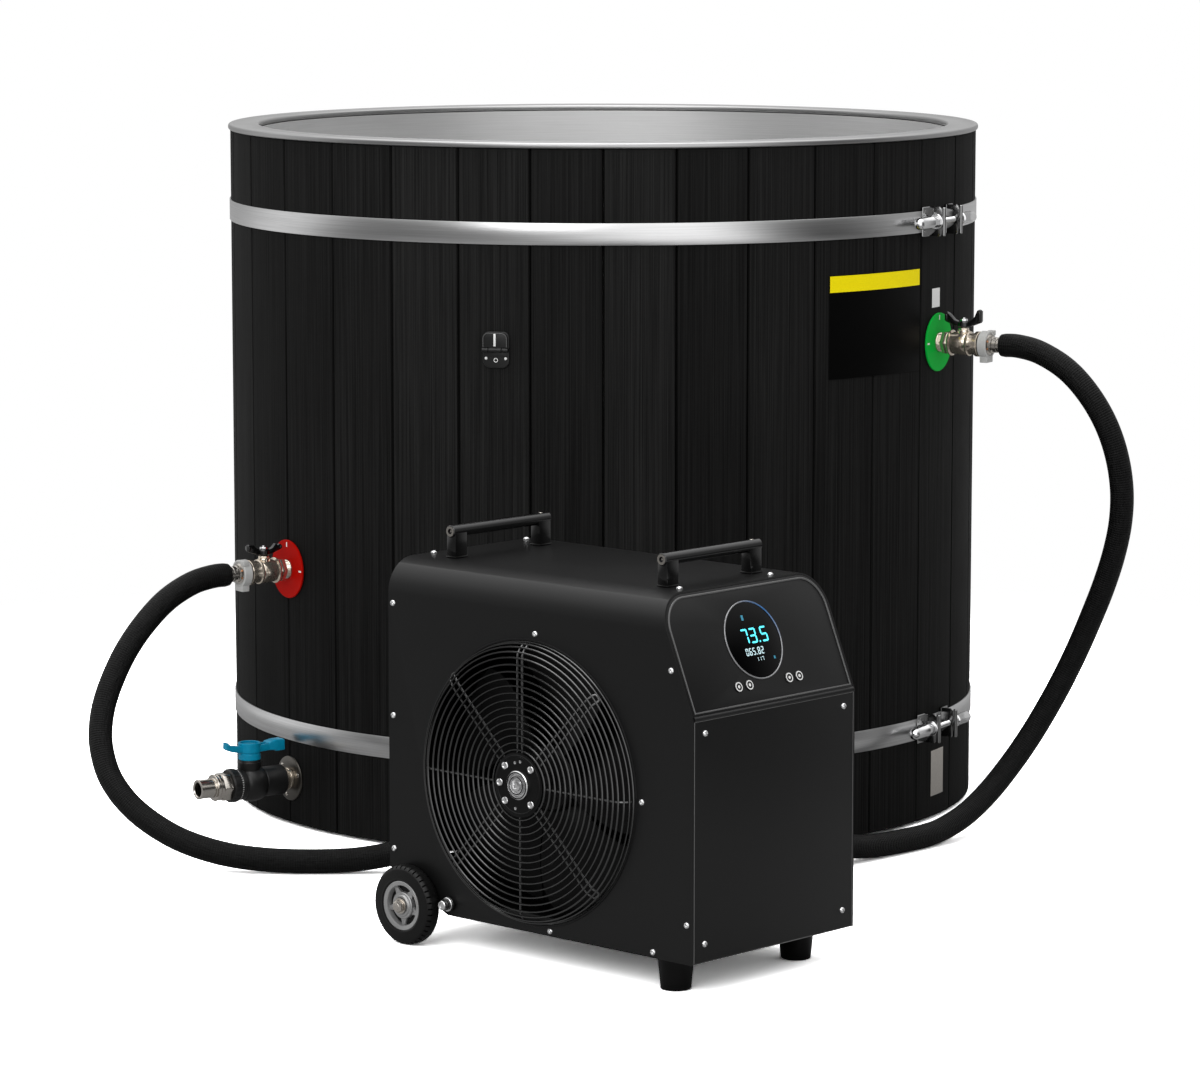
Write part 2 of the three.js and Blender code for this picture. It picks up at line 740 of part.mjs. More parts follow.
// Drain: flange, plastic ball valve, lever and threaded spout
function buildDrain() {
  const group = drainGroup;
  const seat = tubRadius + fitGap;
  const flange = cut(turnedX(rod(drainFlangeRadius, drainFlangeThickness), fineRound).translate(seat, 0, 0),
    turnedX(rod(drainPipeRadius + boreClearance, drainFlangeThickness + cutOverrun * 2), round)
      .translate(seat - cutOverrun, 0, 0));
  addPiece(group, 'drain_flange', flange, materials.polishedSteel);

  const start = seat + drainFlangeThickness + fitGap;
  const sleeveStart = start + drainNippleLength;
  const sleeveEnd = sleeveStart + drainSleeveLength;
  const waistEnd = sleeveEnd + drainWaistLength;
  const bodyEnd = start + drainBodyLength;
  const innerEnd = linerInnerRadius - linerThickness;
  const body = turnedX([
    [valveBore, innerEnd], [drainPipeRadius, innerEnd], [drainPipeRadius, start], [drainNippleRadius, start],
    [drainNippleRadius, sleeveStart], [drainSleeveRadius, sleeveStart], [drainSleeveRadius, sleeveEnd],
    [drainWaistRadius, sleeveEnd], [drainWaistRadius, waistEnd], [drainUnionRadius, waistEnd],
    [drainUnionRadius, bodyEnd], [valveBore, bodyEnd], [valveBore, innerEnd],
  ], round);
  const bonnetBottom = valveBore + fitGap;
  const bonnet = turnedZ(rod(drainBonnetRadius, drainBonnetTop - bonnetBottom), round)
    .translate(start + drainStemAt, 0, bonnetBottom);
  addPiece(group, 'drain_valve_body', join(body, bonnet), materials.blackPlastic);

  const halfWidth = drainLeverWidth / 2;
  const armLow = drainLeverArmZ;
  const armHigh = armLow + drainLeverArmHeight;
  const arm = block(-drainLeverIn, drainLeverOut, -halfWidth, halfWidth, armLow, armHigh);
  const paddle = block(-drainLeverIn, drainPaddleLength - drainLeverIn, -drainPaddleWidth / 2,
    drainPaddleWidth / 2, armLow - (drainPaddleHeight - drainLeverArmHeight) / 2,
    armLow + (drainPaddleHeight + drainLeverArmHeight) / 2);
  const hub = turnedZ(rod(drainLeverHub, drainLeverHubHeight), round)
    .translate(0, 0, drainBonnetTop + fitGap);
  const lever = addPiece(group, 'drain_lever', join(arm, paddle, hub), materials.blueHandle);
  lever.position.x = start + drainStemAt;

  const hexStart = bodyEnd + fitGap;
  const hexEnd = hexStart + drainHexLength;
  const collarEnd = hexEnd + drainCollarLength;
  const spoutEnd = collarEnd + drainSpoutLength;
  const hex = turnedX(rod(drainHexRadius, drainHexLength), hexSides).translate(hexStart, 0, 0);
  const spout = turnedX([
    [0, hexEnd - weldOverlap], [drainCollarRadius, hexEnd - weldOverlap], [drainCollarRadius, collarEnd],
    [drainSpoutRadius, collarEnd], [drainSpoutRadius, spoutEnd], [0, spoutEnd],
  ], round);
  const bore = turnedX(rod(valveBore, spoutEnd - hexStart + cutOverrun * 2), round)
    .translate(hexStart - cutOverrun, 0, 0);
  addPiece(group, 'drain_union', cut(join(hex, spout), bore), materials.polishedSteel);
}

// Chiller, in its own frame: +X along the fan face, +Y into the cabinet's depth
const chiller = new THREE.Group();
chiller.position.set(chillerOffsetX, -(tubRadius + chillerStandOff), 0);
chiller.rotation.z = -rad(chillerYaw);
product.add(chiller);

// The cabinet's cross-section in Y and Z, drawn in by an inset
function cabinetSection(inset, bottomZ) {
  const half = halfDepth - inset;
  const top = cabinetTopZ - inset;
  const roll = cabinetRoll - inset;
  const points = [[-half, bottomZ]];
  for (let i = 0; i <= rollSteps; i += 1) {
    const angle = (quarter * i) / rollSteps;
    points.push([-half + roll - roll * Math.cos(angle), top - roll + roll * Math.sin(angle)]);
  }
  const mirrored = points.map(([y, z]) => [-y, z]).reverse();
  return [...points, ...mirrored];
}

// What lies past the sloping control end, drawn in by an inset
function slopeCutter(inset) {
  const shift = inset / Math.cos(slopeAngle);
  const reach = cabinetLength;
  const rise = reach / Math.tan(slopeAngle);
  const x = halfLength - shift;
  return drawnY([[x, kinkZ], [x + reach, kinkZ], [x + reach, kinkZ + rise], [x - reach, kinkZ + rise]],
    -cabinetDepth, cabinetDepth);
}

// What lies under the sloping lower corner at the wheels
function cornerCutter(inset) {
  const rise = inset / Math.cos(Math.atan2(cornerCutHeight, cornerCutLength));
  const low = cabinetBottomZ + rise;
  return drawnY([
    [-halfLength - cornerCutLength, cabinetBottomZ - cornerCutHeight],
    [-halfLength + cornerCutLength, cabinetBottomZ - cornerCutHeight],
    [-halfLength + cornerCutLength, low], [-halfLength, low + cornerCutHeight],
    [-halfLength - cornerCutLength, low + cornerCutHeight * 2],
  ], -cabinetDepth, cabinetDepth);
}

function coverShell() {
  const outer = cabinetSection(0, cabinetBottomZ);
  const inner = cabinetSection(sheet, cabinetBottomZ).reverse();
  let shell = drawnX([...outer, ...inner], -halfLength, halfLength);
  const opening = turnedY(rod(fanRadius, sheet + cutOverrun * 2), fineRound)
    .translate(fanX, -halfDepth - cutOverrun, fanZ);
  const slots = [];
  for (let i = 0; i < intakeSlots; i += 1) {
    const z = fanZ + (i - (intakeSlots - 1) / 2) * intakeSlotPitch;
    slots.push(block(coilX - coilWidth / 2 + coilDepth, coilX + coilWidth / 2 - coilDepth,
      halfDepth - sheet - cutOverrun, halfDepth + cutOverrun,
      z - intakeSlotHeight / 2, z + intakeSlotHeight / 2));
  }
  const ports = [returnPortX, supplyPortX].map((x) => turnedY(rod(portRadius + boreClearance,
    sheet + cutOverrun * 2), round).translate(x, halfDepth - sheet - cutOverrun, portZ));
  shell = cut(shell, slopeCutter(0), cornerCutter(0), opening, ...slots, ...ports);
  return shell;
}

function buildCabinet() {
  addPiece(chiller, 'cover_shell', coverShell(), materials.blackCoat);

  const inset = sheet + fitGap;
  const cutRise = inset / Math.cos(Math.atan2(cornerCutHeight, cornerCutLength));
  const leftBottom = cabinetBottomZ + cornerCutHeight + cutRise;
  const leftPanel = drawnX(cabinetSection(inset, leftBottom), -halfLength, -halfLength + sheet);
  addPiece(chiller, 'left_end_panel', leftPanel, materials.blackCoat);

  const lowZ = cabinetBottomZ;
  const plateEnd = halfLength - fitGap - sheet;
  const leftX = -halfLength + sheet + fitGap;
  const leftRise = (cornerX - leftX) * cornerCutHeight / cornerCutLength;
  const trayHalf = halfDepth - inset;
  const floor = drawnY([
    [plateEnd, lowZ], [plateEnd, lowZ + sheet], [cornerX, lowZ + sheet],
    [leftX, lowZ + leftRise + sheet], [leftX, lowZ + leftRise], [cornerX, lowZ],
  ], -trayHalf, trayHalf);
  const lips = [-1, 1].map((side) => {
    const outer = side * trayHalf;
    const inner = outer - side * sheet;
    return block(cornerX, plateEnd, Math.min(outer, inner), Math.max(outer, inner), lowZ, lowZ + trayLip);
  });
  addPiece(chiller, 'base_tray', join(floor, ...lips), materials.blackCoat);

  const service = block(halfLength - sheet, halfLength, -trayHalf, trayHalf,
    cabinetBottomZ + fitGap, kinkZ - fitGap - sheet);
  addPiece(chiller, 'service_panel', service, materials.blackCoat);
}

// The sloping control panel's own frame: +X out of the panel, +Z up its slope
const controlFace = new THREE.Group();
controlFace.position.set(halfLength, 0, kinkZ);
controlFace.rotation.y = -slopeAngle;
chiller.add(controlFace);

function alongSlope(z) {
  return (z - kinkZ) / Math.cos(slopeAngle);
}

function buildControls() {
  const bottom = kinkZ + fitGap;
  const profile = cabinetSection(sheet + fitGap, bottom).map(([y, z]) => [y, alongSlope(z)]);
  const panel = drawnX(profile, -sheet, 0);
  const displayAt = alongSlope(displayZ);
  const buttonAt = alongSlope(buttonZ);
  const drillFrom = -sheet - cutOverrun;
  const drillLength = sheet + cutOverrun * 2;
  const window = turnedX(rod(displayRadius + fitGap, drillLength), fineRound)
    .translate(drillFrom, displayOffset, displayAt);
  const keyholes = buttonOffsets.map((offset) => turnedX(rod(buttonRadius + fitGap, drillLength), smallRound)
    .translate(drillFrom, offset, buttonAt));
  addPiece(controlFace, 'control_panel', cut(panel, window, ...keyholes), materials.blackCoat);

  const glass = turnedX(rod(displayRadius, displayThickness), fineRound)
    .translate(-displayThickness + buttonProud / 2, displayOffset, displayAt);
  addPiece(controlFace, 'display_glass', glass, materials.displayGlass);

  buttonOffsets.forEach((offset, index) => {
    const cap = turnedX(rod(buttonRadius, sheet + buttonProud), smallRound)
      .translate(-sheet, offset, buttonAt);
    addPiece(controlFace, `button_${index + 1}`, cap, materials.buttonCap);
  });
}

// Fan: wire basket grille, rotor, motor
function ringWire(radius, y) {
  const half = grilleWire / 2;
  const profile = [[radius - half, 0], [radius, -half], [radius + half, 0], [radius, half]];
  return turnedY([...profile, profile[0]], fineRound).translate(0, y, 0);
}

function buildFan() {
  const grille = new THREE.Group();
  grille.position.set(fanX, -halfDepth, fanZ);
  chiller.add(grille);
  const rimRadius = fanRadius - fitGap - grilleWire / 2;
  const frontY = -grilleDepth;
  const pieces = [];
  const step = (rimRadius - grilleHubRadius) / grilleRings;
  for (let i = 1; i < grilleRings; i += 1) pieces.push(ringWire(grilleHubRadius + step * i, frontY));
  pieces.push(ringWire(rimRadius, 0));
  pieces.push(turnedY(rod(grilleHubRadius, grilleWire), round).translate(0, frontY - grilleWire / 2, 0));
  const half = grilleWire / 2;
  const shoulder = rimRadius - step / 2;
  for (let i = 0; i < grilleSpokes; i += 1) {
    const spoke = block(grilleHubRadius - grilleHubOverlap, shoulder, frontY - half, frontY + half,
      -half, half);
    const lag = raised([
      [shoulder - half, frontY - half], [shoulder + half, frontY - half], [rimRadius + half, -half],
      [rimRadius + half, half], [rimRadius - half, half], [shoulder - half, frontY + half],
    ], grilleWire).translate(0, 0, -half);
    for (const piece of [spoke, lag]) pieces.push(piece.rotateY((turn * i) / grilleSpokes));
  }
  addPiece(grille, 'fan_grille', join(...pieces), materials.blackWire);

  const rotor = new THREE.Group();
  rotor.position.set(fanX, -halfDepth + rotorSetback, fanZ);
  chiller.add(rotor);
  const shaftHole = motorShaftRadius + boreClearance;
  const hub = turnedY([[shaftHole, 0], [rotorHubRadius, 0], [rotorHubRadius, rotorWidth],
    [shaftHole, rotorWidth], [shaftHole, 0]], round);
  const blades = [];
  for (let i = 0; i < rotorBlades; i += 1) {
    const blade = raised([
      [bladeRootRadius, -bladeRootWidth / 2], [rotorRadius - bladeTipInset, -bladeTipWidth / 2],
      [rotorRadius, 0], [rotorRadius - bladeTipInset, bladeTipWidth / 2],
      [bladeRootRadius, bladeRootWidth / 2],
    ], bladeThickness).translate(0, 0, -bladeThickness / 2);
    blade.rotateX(quarter + rad(bladePitch)).translate(0, rotorWidth / 2, 0);
    blades.push(blade.rotateY((turn * i) / rotorBlades));
  }
  const bore = turnedY(rod(shaftHole, rotorWidth + cutOverrun * 2), round).translate(0, -cutOverrun, 0);
  const disc = turnedY(rod(rotorRadius, rotorWidth), fineRound);
  const body = common(cut(join(hub, ...blades), bore), disc);
  addPiece(rotor, 'fan_rotor', body, materials.blackPlastic);

  const motorY = rotorSetback + rotorWidth + fitGap * 2;
  const motor = turnedY([
    [0, fitGap - rotorWidth], [motorShaftRadius, fitGap - rotorWidth], [motorShaftRadius, 0],
    [motorRadius, 0], [motorRadius, motorLength], [0, motorLength],
  ], round);
  const strutZ = cabinetBottomZ + sheet + fitGap - fanZ;
  const strut = block(-motorStrutWidth / 2, motorStrutWidth / 2, (motorLength - motorStrutDepth) / 2,
    (motorLength + motorStrutDepth) / 2, strutZ, 0);
  const motorPiece = addPiece(chiller, 'fan_motor', join(motor, strut), materials.compressorPaint);
  motorPiece.position.set(fanX, -halfDepth + motorY, fanZ);
}

// Refrigeration and water parts standing on the tray
function buildInside() {
  const trayTop = cabinetBottomZ + sheet + fitGap;
  const frame = block(coilX - coilWidth / 2, coilX + coilWidth / 2, coilBackY - coilDepth, coilBackY,
    trayTop, trayTop + coilHeight);
  const header = turnedZ(rod(coilHeaderRadius, coilHeight - coilHeaderRadius * 2), smallRound)
    .translate(coilX - coilWidth / 2, coilBackY - coilDepth / 2, trayTop + coilHeaderRadius);
  addPiece(chiller, 'condenser_coil', join(frame, header), materials.copperCoil);

  const canRadius = compressorRadius - footingHeight;
  const compressor = turnedZ([
    [0, trayTop], [compressorRadius, trayTop], [compressorRadius, trayTop + footingHeight],
    [canRadius, trayTop + footingHeight], [canRadius, trayTop + compressorHeight - compressorShoulder],
    [canRadius - compressorShoulder, trayTop + compressorHeight], [0, trayTop + compressorHeight],
  ], round).translate(compressorX, compressorY, 0);
  addPiece(chiller, 'compressor', compressor, materials.compressorPaint);

  const exchanger = turnedZ([
    [0, trayTop], [exchangerRadius, trayTop],
    [exchangerRadius, trayTop + exchangerHeight - exchangerShoulder],
    [exchangerRadius - exchangerShoulder, trayTop + exchangerHeight], [0, trayTop + exchangerHeight],
  ], round).translate(exchangerX, exchangerY, 0);
  addPiece(chiller, 'heat_exchanger', exchanger, materials.blackPlastic);

  const pumpZ = trayTop + pumpRadius + footingHeight;
  const volute = turnedY(rod(pumpRadius, pumpLength), round).translate(pumpX, pumpY - pumpLength / 2, pumpZ);
  const saddle = block(pumpX - pumpSaddleWidth / 2, pumpX + pumpSaddleWidth / 2, pumpY - pumpLength / 2,
    pumpY + pumpLength / 2, trayTop, pumpZ);
  const outletPipe = turnedZ(rod(hoseTailRadius, pumpOutletLength), smallRound)
    .translate(pumpX, pumpY, pumpZ);
  addPiece(chiller, 'circulation_pump', join(volute, saddle, outletPipe), materials.blackPlastic);
}

// Carrying handles
function handle() {
  const half = handleLength / 2;
  const bottom = cabinetTopZ + fitGap;
  const barZ = cabinetTopZ + handleRise;
  const bar = turnedY(rod(handleRadius, handleLength), smallRound).translate(0, -half, barZ);
  const posts = [-1, 1].map((side) => {
    const outer = side * (half - handlePostInset + handlePostLength / 2);
    const inner = outer - side * handlePostLength;
    return block(-handlePostWidth / 2, handlePostWidth / 2, Math.min(outer, inner), Math.max(outer, inner),
      bottom, barZ);
  });
  return join(bar, ...posts);
}

// Wheels on their axle, feet, drain spigot
function wheel() {
  const half = wheelWidth / 2;
  const bore = axleRadius + boreClearance;
  const shoulderRadius = wheelRadius - wheelShoulder;
  const tyre = turnedY([
    [wheelRimRadius, -half], [shoulderRadius, -half], [wheelRadius, wheelShoulder - half],
    [wheelRadius, half - wheelShoulder], [shoulderRadius, half], [wheelRimRadius, half],
    [wheelRimRadius, -half],
  ], round);
  const hub = turnedY([
    [bore, -half], [wheelHubRadius, -half], [wheelHubRadius, half], [bore, half], [bore, -half],
  ], smallRound);
  const pieces = [tyre, hub];
  for (let i = 0; i < wheelSpokes; i += 1) {
    const spoke = block((bore + wheelHubRadius) / 2, (wheelRimRadius + shoulderRadius) / 2,
      -wheelSpokeDepth / 2, wheelSpokeDepth / 2, -wheelSpokeWidth / 2, wheelSpokeWidth / 2);
    pieces.push(spoke.rotateY((turn * i) / wheelSpokes));
  }
  return join(...pieces);
}

function buildRunningGear() {
  const wheelMiddle = halfDepth + fitGap * 2 + wheelWidth / 2 + axleHangerThickness / 2;
  for (const [name, side] of [['front', -1], ['rear', 1]]) {
    const piece = addPiece(chiller, `wheel_${name}`, wheel(), materials.rubber);
    piece.position.set(wheelX, side * wheelMiddle, wheelRadius);
  }
  const nutAt = wheelMiddle + wheelWidth / 2 + fitGap;
  const axle = turnedY([
    [0, -nutAt - axleNutLength], [axleNutRadius, -nutAt - axleNutLength], [axleNutRadius, -nutAt],
    [axleRadius, -nutAt], [axleRadius, nutAt], [axleNutRadius, nutAt], [axleNutRadius, nutAt + axleNutLength],
    [0, nutAt + axleNutLength],
  ], smallRound).translate(wheelX, 0, wheelRadius);
  const trayUnder = (x) => cabinetBottomZ - fitGap
    + Math.max(0, cornerX - x) * cornerCutHeight / cornerCutLength;
  const hangerLow = wheelRadius - axleRadius - axleHangerThickness;
  const fromX = wheelX - axleHangerWidth / 2;
  const toX = wheelX + axleHangerWidth / 2;
  const hangerAt = halfDepth - sheet - fitGap - axleHangerThickness;
  const hangers = [-1, 1].map((side) => {
    const outer = side * (hangerAt + axleHangerThickness);
    const inner = side * hangerAt;
    return drawnY([[fromX, hangerLow], [toX, hangerLow], [toX, trayUnder(toX)], [fromX, trayUnder(fromX)]],
      Math.min(outer, inner), Math.max(outer, inner));
  });
  addPiece(chiller, 'wheel_axle', join(axle, ...hangers), materials.polishedSteel);

  for (const [name, side] of [['front', -1], ['rear', 1]]) {
    const footTop = cabinetBottomZ - fitGap;
    const foot = turnedZ([[0, 0], [footTipRadius, 0], [footRadius, footTop], [0, footTop]], round)
      .translate(footX, side * (halfDepth - footInset), 0);
    addPiece(chiller, `foot_${name}`, foot, materials.rubber);
  }

  const seat = halfDepth + fitGap;
  const spigot = turnedY([
    [0, -seat - spigotLength], [spigotRadius, -seat - spigotLength],
    [spigotRadius, -seat - spigotCollarLength], [spigotCollarRadius, -seat - spigotCollarLength],
    [spigotCollarRadius, -seat], [0, -seat],
  ], smallRound).translate(spigotX, 0, spigotZ);
  addPiece(chiller, 'drain_spigot', spigot, materials.polishedSteel);
}

function buildHandles() {
  for (const [name, x] of [['left', leftHandleX], ['right', rightHandleX]]) {
    const piece = addPiece(chiller, `handle_${name}`, handle(), materials.blackCoat);
    piece.position.set(x, handleOffset, 0);
  }
}

// Hose ports on the rear: a straight union and an elbow
function buildPorts() {
  const inside = halfDepth - portInsideLength;
  const seat = halfDepth + fitGap;
  const flangeEnd = seat + portFlangeLength;
  const supplyEnd = halfDepth + supplyPortLength - fitGap;
  const supply = turnedY([
    [valveBore, inside], [portRadius, inside], [portRadius, seat], [portFlangeRadius, seat],
    [portFlangeRadius, flangeEnd], [portRadius, flangeEnd], [portRadius, supplyEnd],
    [valveBore, supplyEnd], [valveBore, inside],
  ], round).translate(supplyPortX, 0, portZ);
  addPiece(chiller, 'supply_port', supply, materials.greyPlastic);

  const elbowY = halfDepth + elbowReach;
  const stub = turnedY([
    [0, inside], [portRadius, inside], [portRadius, seat], [portFlangeRadius, seat],
    [portFlangeRadius, flangeEnd], [portRadius, flangeEnd], [portRadius, elbowY], [0, elbowY],
  ], round).translate(returnPortX, 0, portZ);
  const arm = turnedX(rod(portRadius, elbowArm - fitGap), round)
    .translate(returnPortX - elbowArm + fitGap, elbowY, portZ);
  const knee = turnedZ(rod(portRadius, portRadius * 2), round)
    .translate(returnPortX, elbowY, portZ - portRadius);
  const bore = turnedX(rod(valveBore, elbowArm + cutOverrun), smallRound)
    .translate(returnPortX - elbowArm - cutOverrun, elbowY, portZ);
  addPiece(chiller, 'return_port', cut(join(stub, arm, knee), bore), materials.greyPlastic);
}

function buildHoses() {
  addPiece(product, 'supply_hose', tube(supplyHosePoints, hoseRadius, hoseSides, hoseSteps), materials.hose);
  addPiece(product, 'return_hose', tube(returnHosePoints, hoseRadius, hoseSides, hoseSteps), materials.hose);
}

buildTubShell();
buildBands();
buildWallPlates();
buildValve(supplyGroup, 'supply', materials.greenDisc);
buildValve(returnGroup, 'return', materials.redDisc);
buildDrain();
buildCabinet();
buildControls();
buildFan();
buildInside();
buildHandles();
buildRunningGear();
buildPorts();
buildHoses();

export default product;
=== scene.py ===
import math
import bmesh
import bpy
from mathutils import Matrix, Vector


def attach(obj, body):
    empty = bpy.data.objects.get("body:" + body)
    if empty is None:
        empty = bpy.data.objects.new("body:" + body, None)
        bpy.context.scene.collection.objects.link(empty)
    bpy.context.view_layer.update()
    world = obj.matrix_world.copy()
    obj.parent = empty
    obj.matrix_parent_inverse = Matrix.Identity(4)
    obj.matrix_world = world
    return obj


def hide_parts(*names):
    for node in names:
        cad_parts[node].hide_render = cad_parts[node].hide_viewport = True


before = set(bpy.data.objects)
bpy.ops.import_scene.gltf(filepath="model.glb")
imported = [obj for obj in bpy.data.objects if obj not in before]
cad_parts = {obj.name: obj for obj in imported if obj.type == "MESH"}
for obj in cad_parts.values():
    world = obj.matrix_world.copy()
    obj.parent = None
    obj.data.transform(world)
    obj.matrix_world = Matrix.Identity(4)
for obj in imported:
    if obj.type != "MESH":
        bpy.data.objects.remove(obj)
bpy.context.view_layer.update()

# Barrel cold plunge tub with its water chiller. Shapes are built in millimetres and placed in metres.
mm = 0.001
rootBody = "tub_and_chiller"
fitGap = 0.3        # between neighbouring pieces
drillRound = 0.1    # chamfer on the end of a cutter


def pick(settings, names):
    # The named values of a settings dictionary, in the order of the names
    return [settings[name] for name in names.split()]


def linked(name, data):
    obj = bpy.data.objects.new(name, data)
    bpy.context.scene.collection.objects.link(obj)
    return obj


# The camera of the photograph
cameraSettings = dict(lens=142.2, sensor=36, place=(-0.0043, -6.710, 1.303), tilt=81.9, reach=60)
cameraData = bpy.data.cameras.new("photoCamera")
cameraData.lens, cameraData.sensor_width, cameraData.clip_end = pick(cameraSettings, "lens sensor reach")
camera = linked("photoCamera", cameraData)
camera.location = cameraSettings["place"]
camera.rotation_euler = (math.radians(cameraSettings["tilt"]), 0, 0)
bpy.context.scene.camera = camera


# Places: each matrix takes a piece from its own frame to the tub's, in millimetres
def at(x=0, y=0, z=0):
    return Matrix.Translation((x, y, z))


def turned(degrees, axis="Z"):
    return Matrix.Rotation(math.radians(degrees), 4, axis)


def onWall(angle, height):
    # +X points out of the tub's wall, +Y round to the right
    return at(0, 0, height) @ turned(angle - 90)


def polar(radius, degrees, x=0, y=0):
    return x + radius * math.cos(math.radians(degrees)), y + radius * math.sin(math.radians(degrees))


def arcPoints(x, y, radius, begin, end, steps):
    return [polar(radius, begin + (end - begin) * i / steps, x, y) for i in range(steps + 1)]


# Outlines drawn in Y and Z and raised along +X, and outlines in X and Z raised along -Y
standingX = Matrix(((0, 0, 1, 0), (1, 0, 0, 0), (0, 1, 0, 0), (0, 0, 0, 1)))
standingY = turned(90, "X")

chillerSettings = dict(yaw=43, offsetX=19, standOff=1054, kinkZ=332, topZ=471, bottomZ=42, slopeRun=58,
                       halfLength=250, halfDepth=145, roll=42, sheet=2, cornerLength=100, cornerHeight=47,
                       rollSteps=20)
chillerPlace = at(chillerSettings["offsetX"], -chillerSettings["standOff"]) @ turned(-chillerSettings["yaw"])
slopeAngle = math.degrees(math.atan2(chillerSettings["slopeRun"],
                                     chillerSettings["topZ"] - chillerSettings["kinkZ"]))
# The sloping control panel: +X out of the panel, +Z up its slope
controlPlace = chillerPlace @ at(chillerSettings["halfLength"], 0,
                                 chillerSettings["kinkZ"]) @ turned(-slopeAngle, "Y")


# Shapes: each function returns a bmesh in millimetres
def laid(bm, axis):
    if axis == "X":
        bm.transform(turned(90, "Y"))
    if axis == "Y":
        bm.transform(turned(-90, "X"))
    return bm


def rounded(bm, edges, offset, segments=2):
    bmesh.ops.bevel(bm, geom=edges, offset=offset, segments=segments, affect="EDGES", profile=0.5,
                    material=-1)


def spinProfile(bm, profile, closed, angle, steps, full):
    verts = [bm.verts.new((radius, 0, height)) for radius, height in profile]
    edges = [bm.edges.new(pair) for pair in zip(verts, verts[1:] + verts[:closed])]
    bmesh.ops.spin(bm, geom=verts + edges, cent=(0, 0, 0), axis=(0, 0, 1), dvec=(0, 0, 0), angle=angle,
                   steps=steps, use_merge=full, use_duplicate=False)


def spun(profile, steps=48, axis="Z", closed=False):
    # A profile of (radius, height) pairs turned about an axis
    bm = bmesh.new()
    spinProfile(bm, profile, closed, math.tau, steps, True)
    bmesh.ops.remove_doubles(bm, verts=bm.verts, dist=0.001)
    laid(bm, axis)
    bmesh.ops.recalc_face_normals(bm, faces=bm.faces)
    return bm


def hollow(profile, steps=48, axis="Z", start=0):
    # A profile that closes on itself, with heights counted from a start
    return spun([(radius, start + height) for radius, height in profile], steps, axis, True)


def rod(radius, length, chamfer=0.6, steps=32, axis="Z", start=0):
    end = start + length
    return spun([(0, start), (radius - chamfer, start), (radius, start + chamfer), (radius, end - chamfer),
                 (radius - chamfer, end), (0, end)], steps, axis)


def drill(radius, length, start, steps=32, axis="X"):
    return rod(radius, length, drillRound, steps, axis, start)


def ringOf(radius, wire, sides=8, steps=96, axis="Z", height=0):
    return hollow([polar(wire, 360 * i / sides, radius) for i in range(sides)], steps, axis, height)


def slab(points, thickness, bevel=0, segments=2):
    # An outline in X and Y raised along +Z, its top and bottom edges rounded
    bm = bmesh.new()
    face = bm.faces.new([bm.verts.new((x, y, 0)) for x, y in points])
    raised = bmesh.ops.extrude_face_region(bm, geom=[face])["geom"]
    bmesh.ops.translate(bm, verts=[v for v in raised if isinstance(v, bmesh.types.BMVert)],
                        vec=(0, 0, thickness))
    bmesh.ops.recalc_face_normals(bm, faces=bm.faces)
    if bevel:
        rims = [e for e in bm.edges if abs(e.verts[0].co.z - e.verts[1].co.z) < thickness / 2]
        rounded(bm, rims, bevel, segments)
    return bm


def brick(low, high, bevel=0.8, segments=2):
    # A box between two corners with rounded edges
    bm = bmesh.new()
    bmesh.ops.create_cube(bm, size=1)
    bmesh.ops.scale(bm, vec=[b - a for a, b in zip(low, high)], verts=bm.verts)
    bmesh.ops.translate(bm, vec=[(a + b) / 2 for a, b in zip(low, high)], verts=bm.verts)
    if bevel:
        rounded(bm, list(bm.edges), bevel, segments)
    return bm


def hexNut(radius, length, chamfer=0.8, axis="Z", start=0):
    bm = bmesh.new()
    bmesh.ops.create_cone(bm, cap_ends=True, segments=6, radius1=radius, radius2=radius, depth=length)
    bmesh.ops.translate(bm, verts=bm.verts, vec=(0, 0, start + length / 2))
    rounded(bm, list(bm.edges), chamfer)
    return laid(bm, axis)


def swept(path, radius, sides=12, layerName=None):
    # A round section drawn along a path; the layer holds (cosine, sine, distance) for the material
    bm = bmesh.new()
    layer = bm.verts.layers.float_vector.new(layerName) if layerName else None
    path = [Vector(point) for point in path]
    radii = radius if isinstance(radius, list) else [radius] * len(path)
    bmesh.ops.create_circle(bm, segments=sides, radius=1)
    ring, edges = list(bm.verts), list(bm.edges)
    corners = [v.co.copy() for v in ring]
    heading = (path[1] - path[0]).normalized()
    across = heading.orthogonal().normalized()
    distance = 0
    for i, point in enumerate(path):
        newHeading = (path[min(i + 1, len(path) - 1)] - path[max(i - 1, 0)]).normalized()
        across = heading.rotation_difference(newHeading) @ across
        heading = newHeading
        side = heading.cross(across).normalized()
        if i:
            distance += (point - path[i - 1]).length
            grown = bmesh.ops.extrude_edge_only(bm, edges=edges)["geom"]
            partners = {}
            for v in [g for g in grown if isinstance(g, bmesh.types.BMVert)]:
                partners[min(ring, key=lambda old: (old.co - v.co).length_squared)] = v
            ring = [partners[v] for v in ring]
            edges = [g for g in grown if isinstance(g, bmesh.types.BMEdge)]
        else:
            first = ring
        for corner, v in zip(corners, ring):
            v.co = point + (across * corner.x + side * corner.y) * radii[i]
            if layer:
                v[layer] = (corner.x, corner.y, distance)
    for loop in (first, ring):
        bm.faces.new(loop)
    bmesh.ops.recalc_face_normals(bm, faces=bm.faces)
    return bm


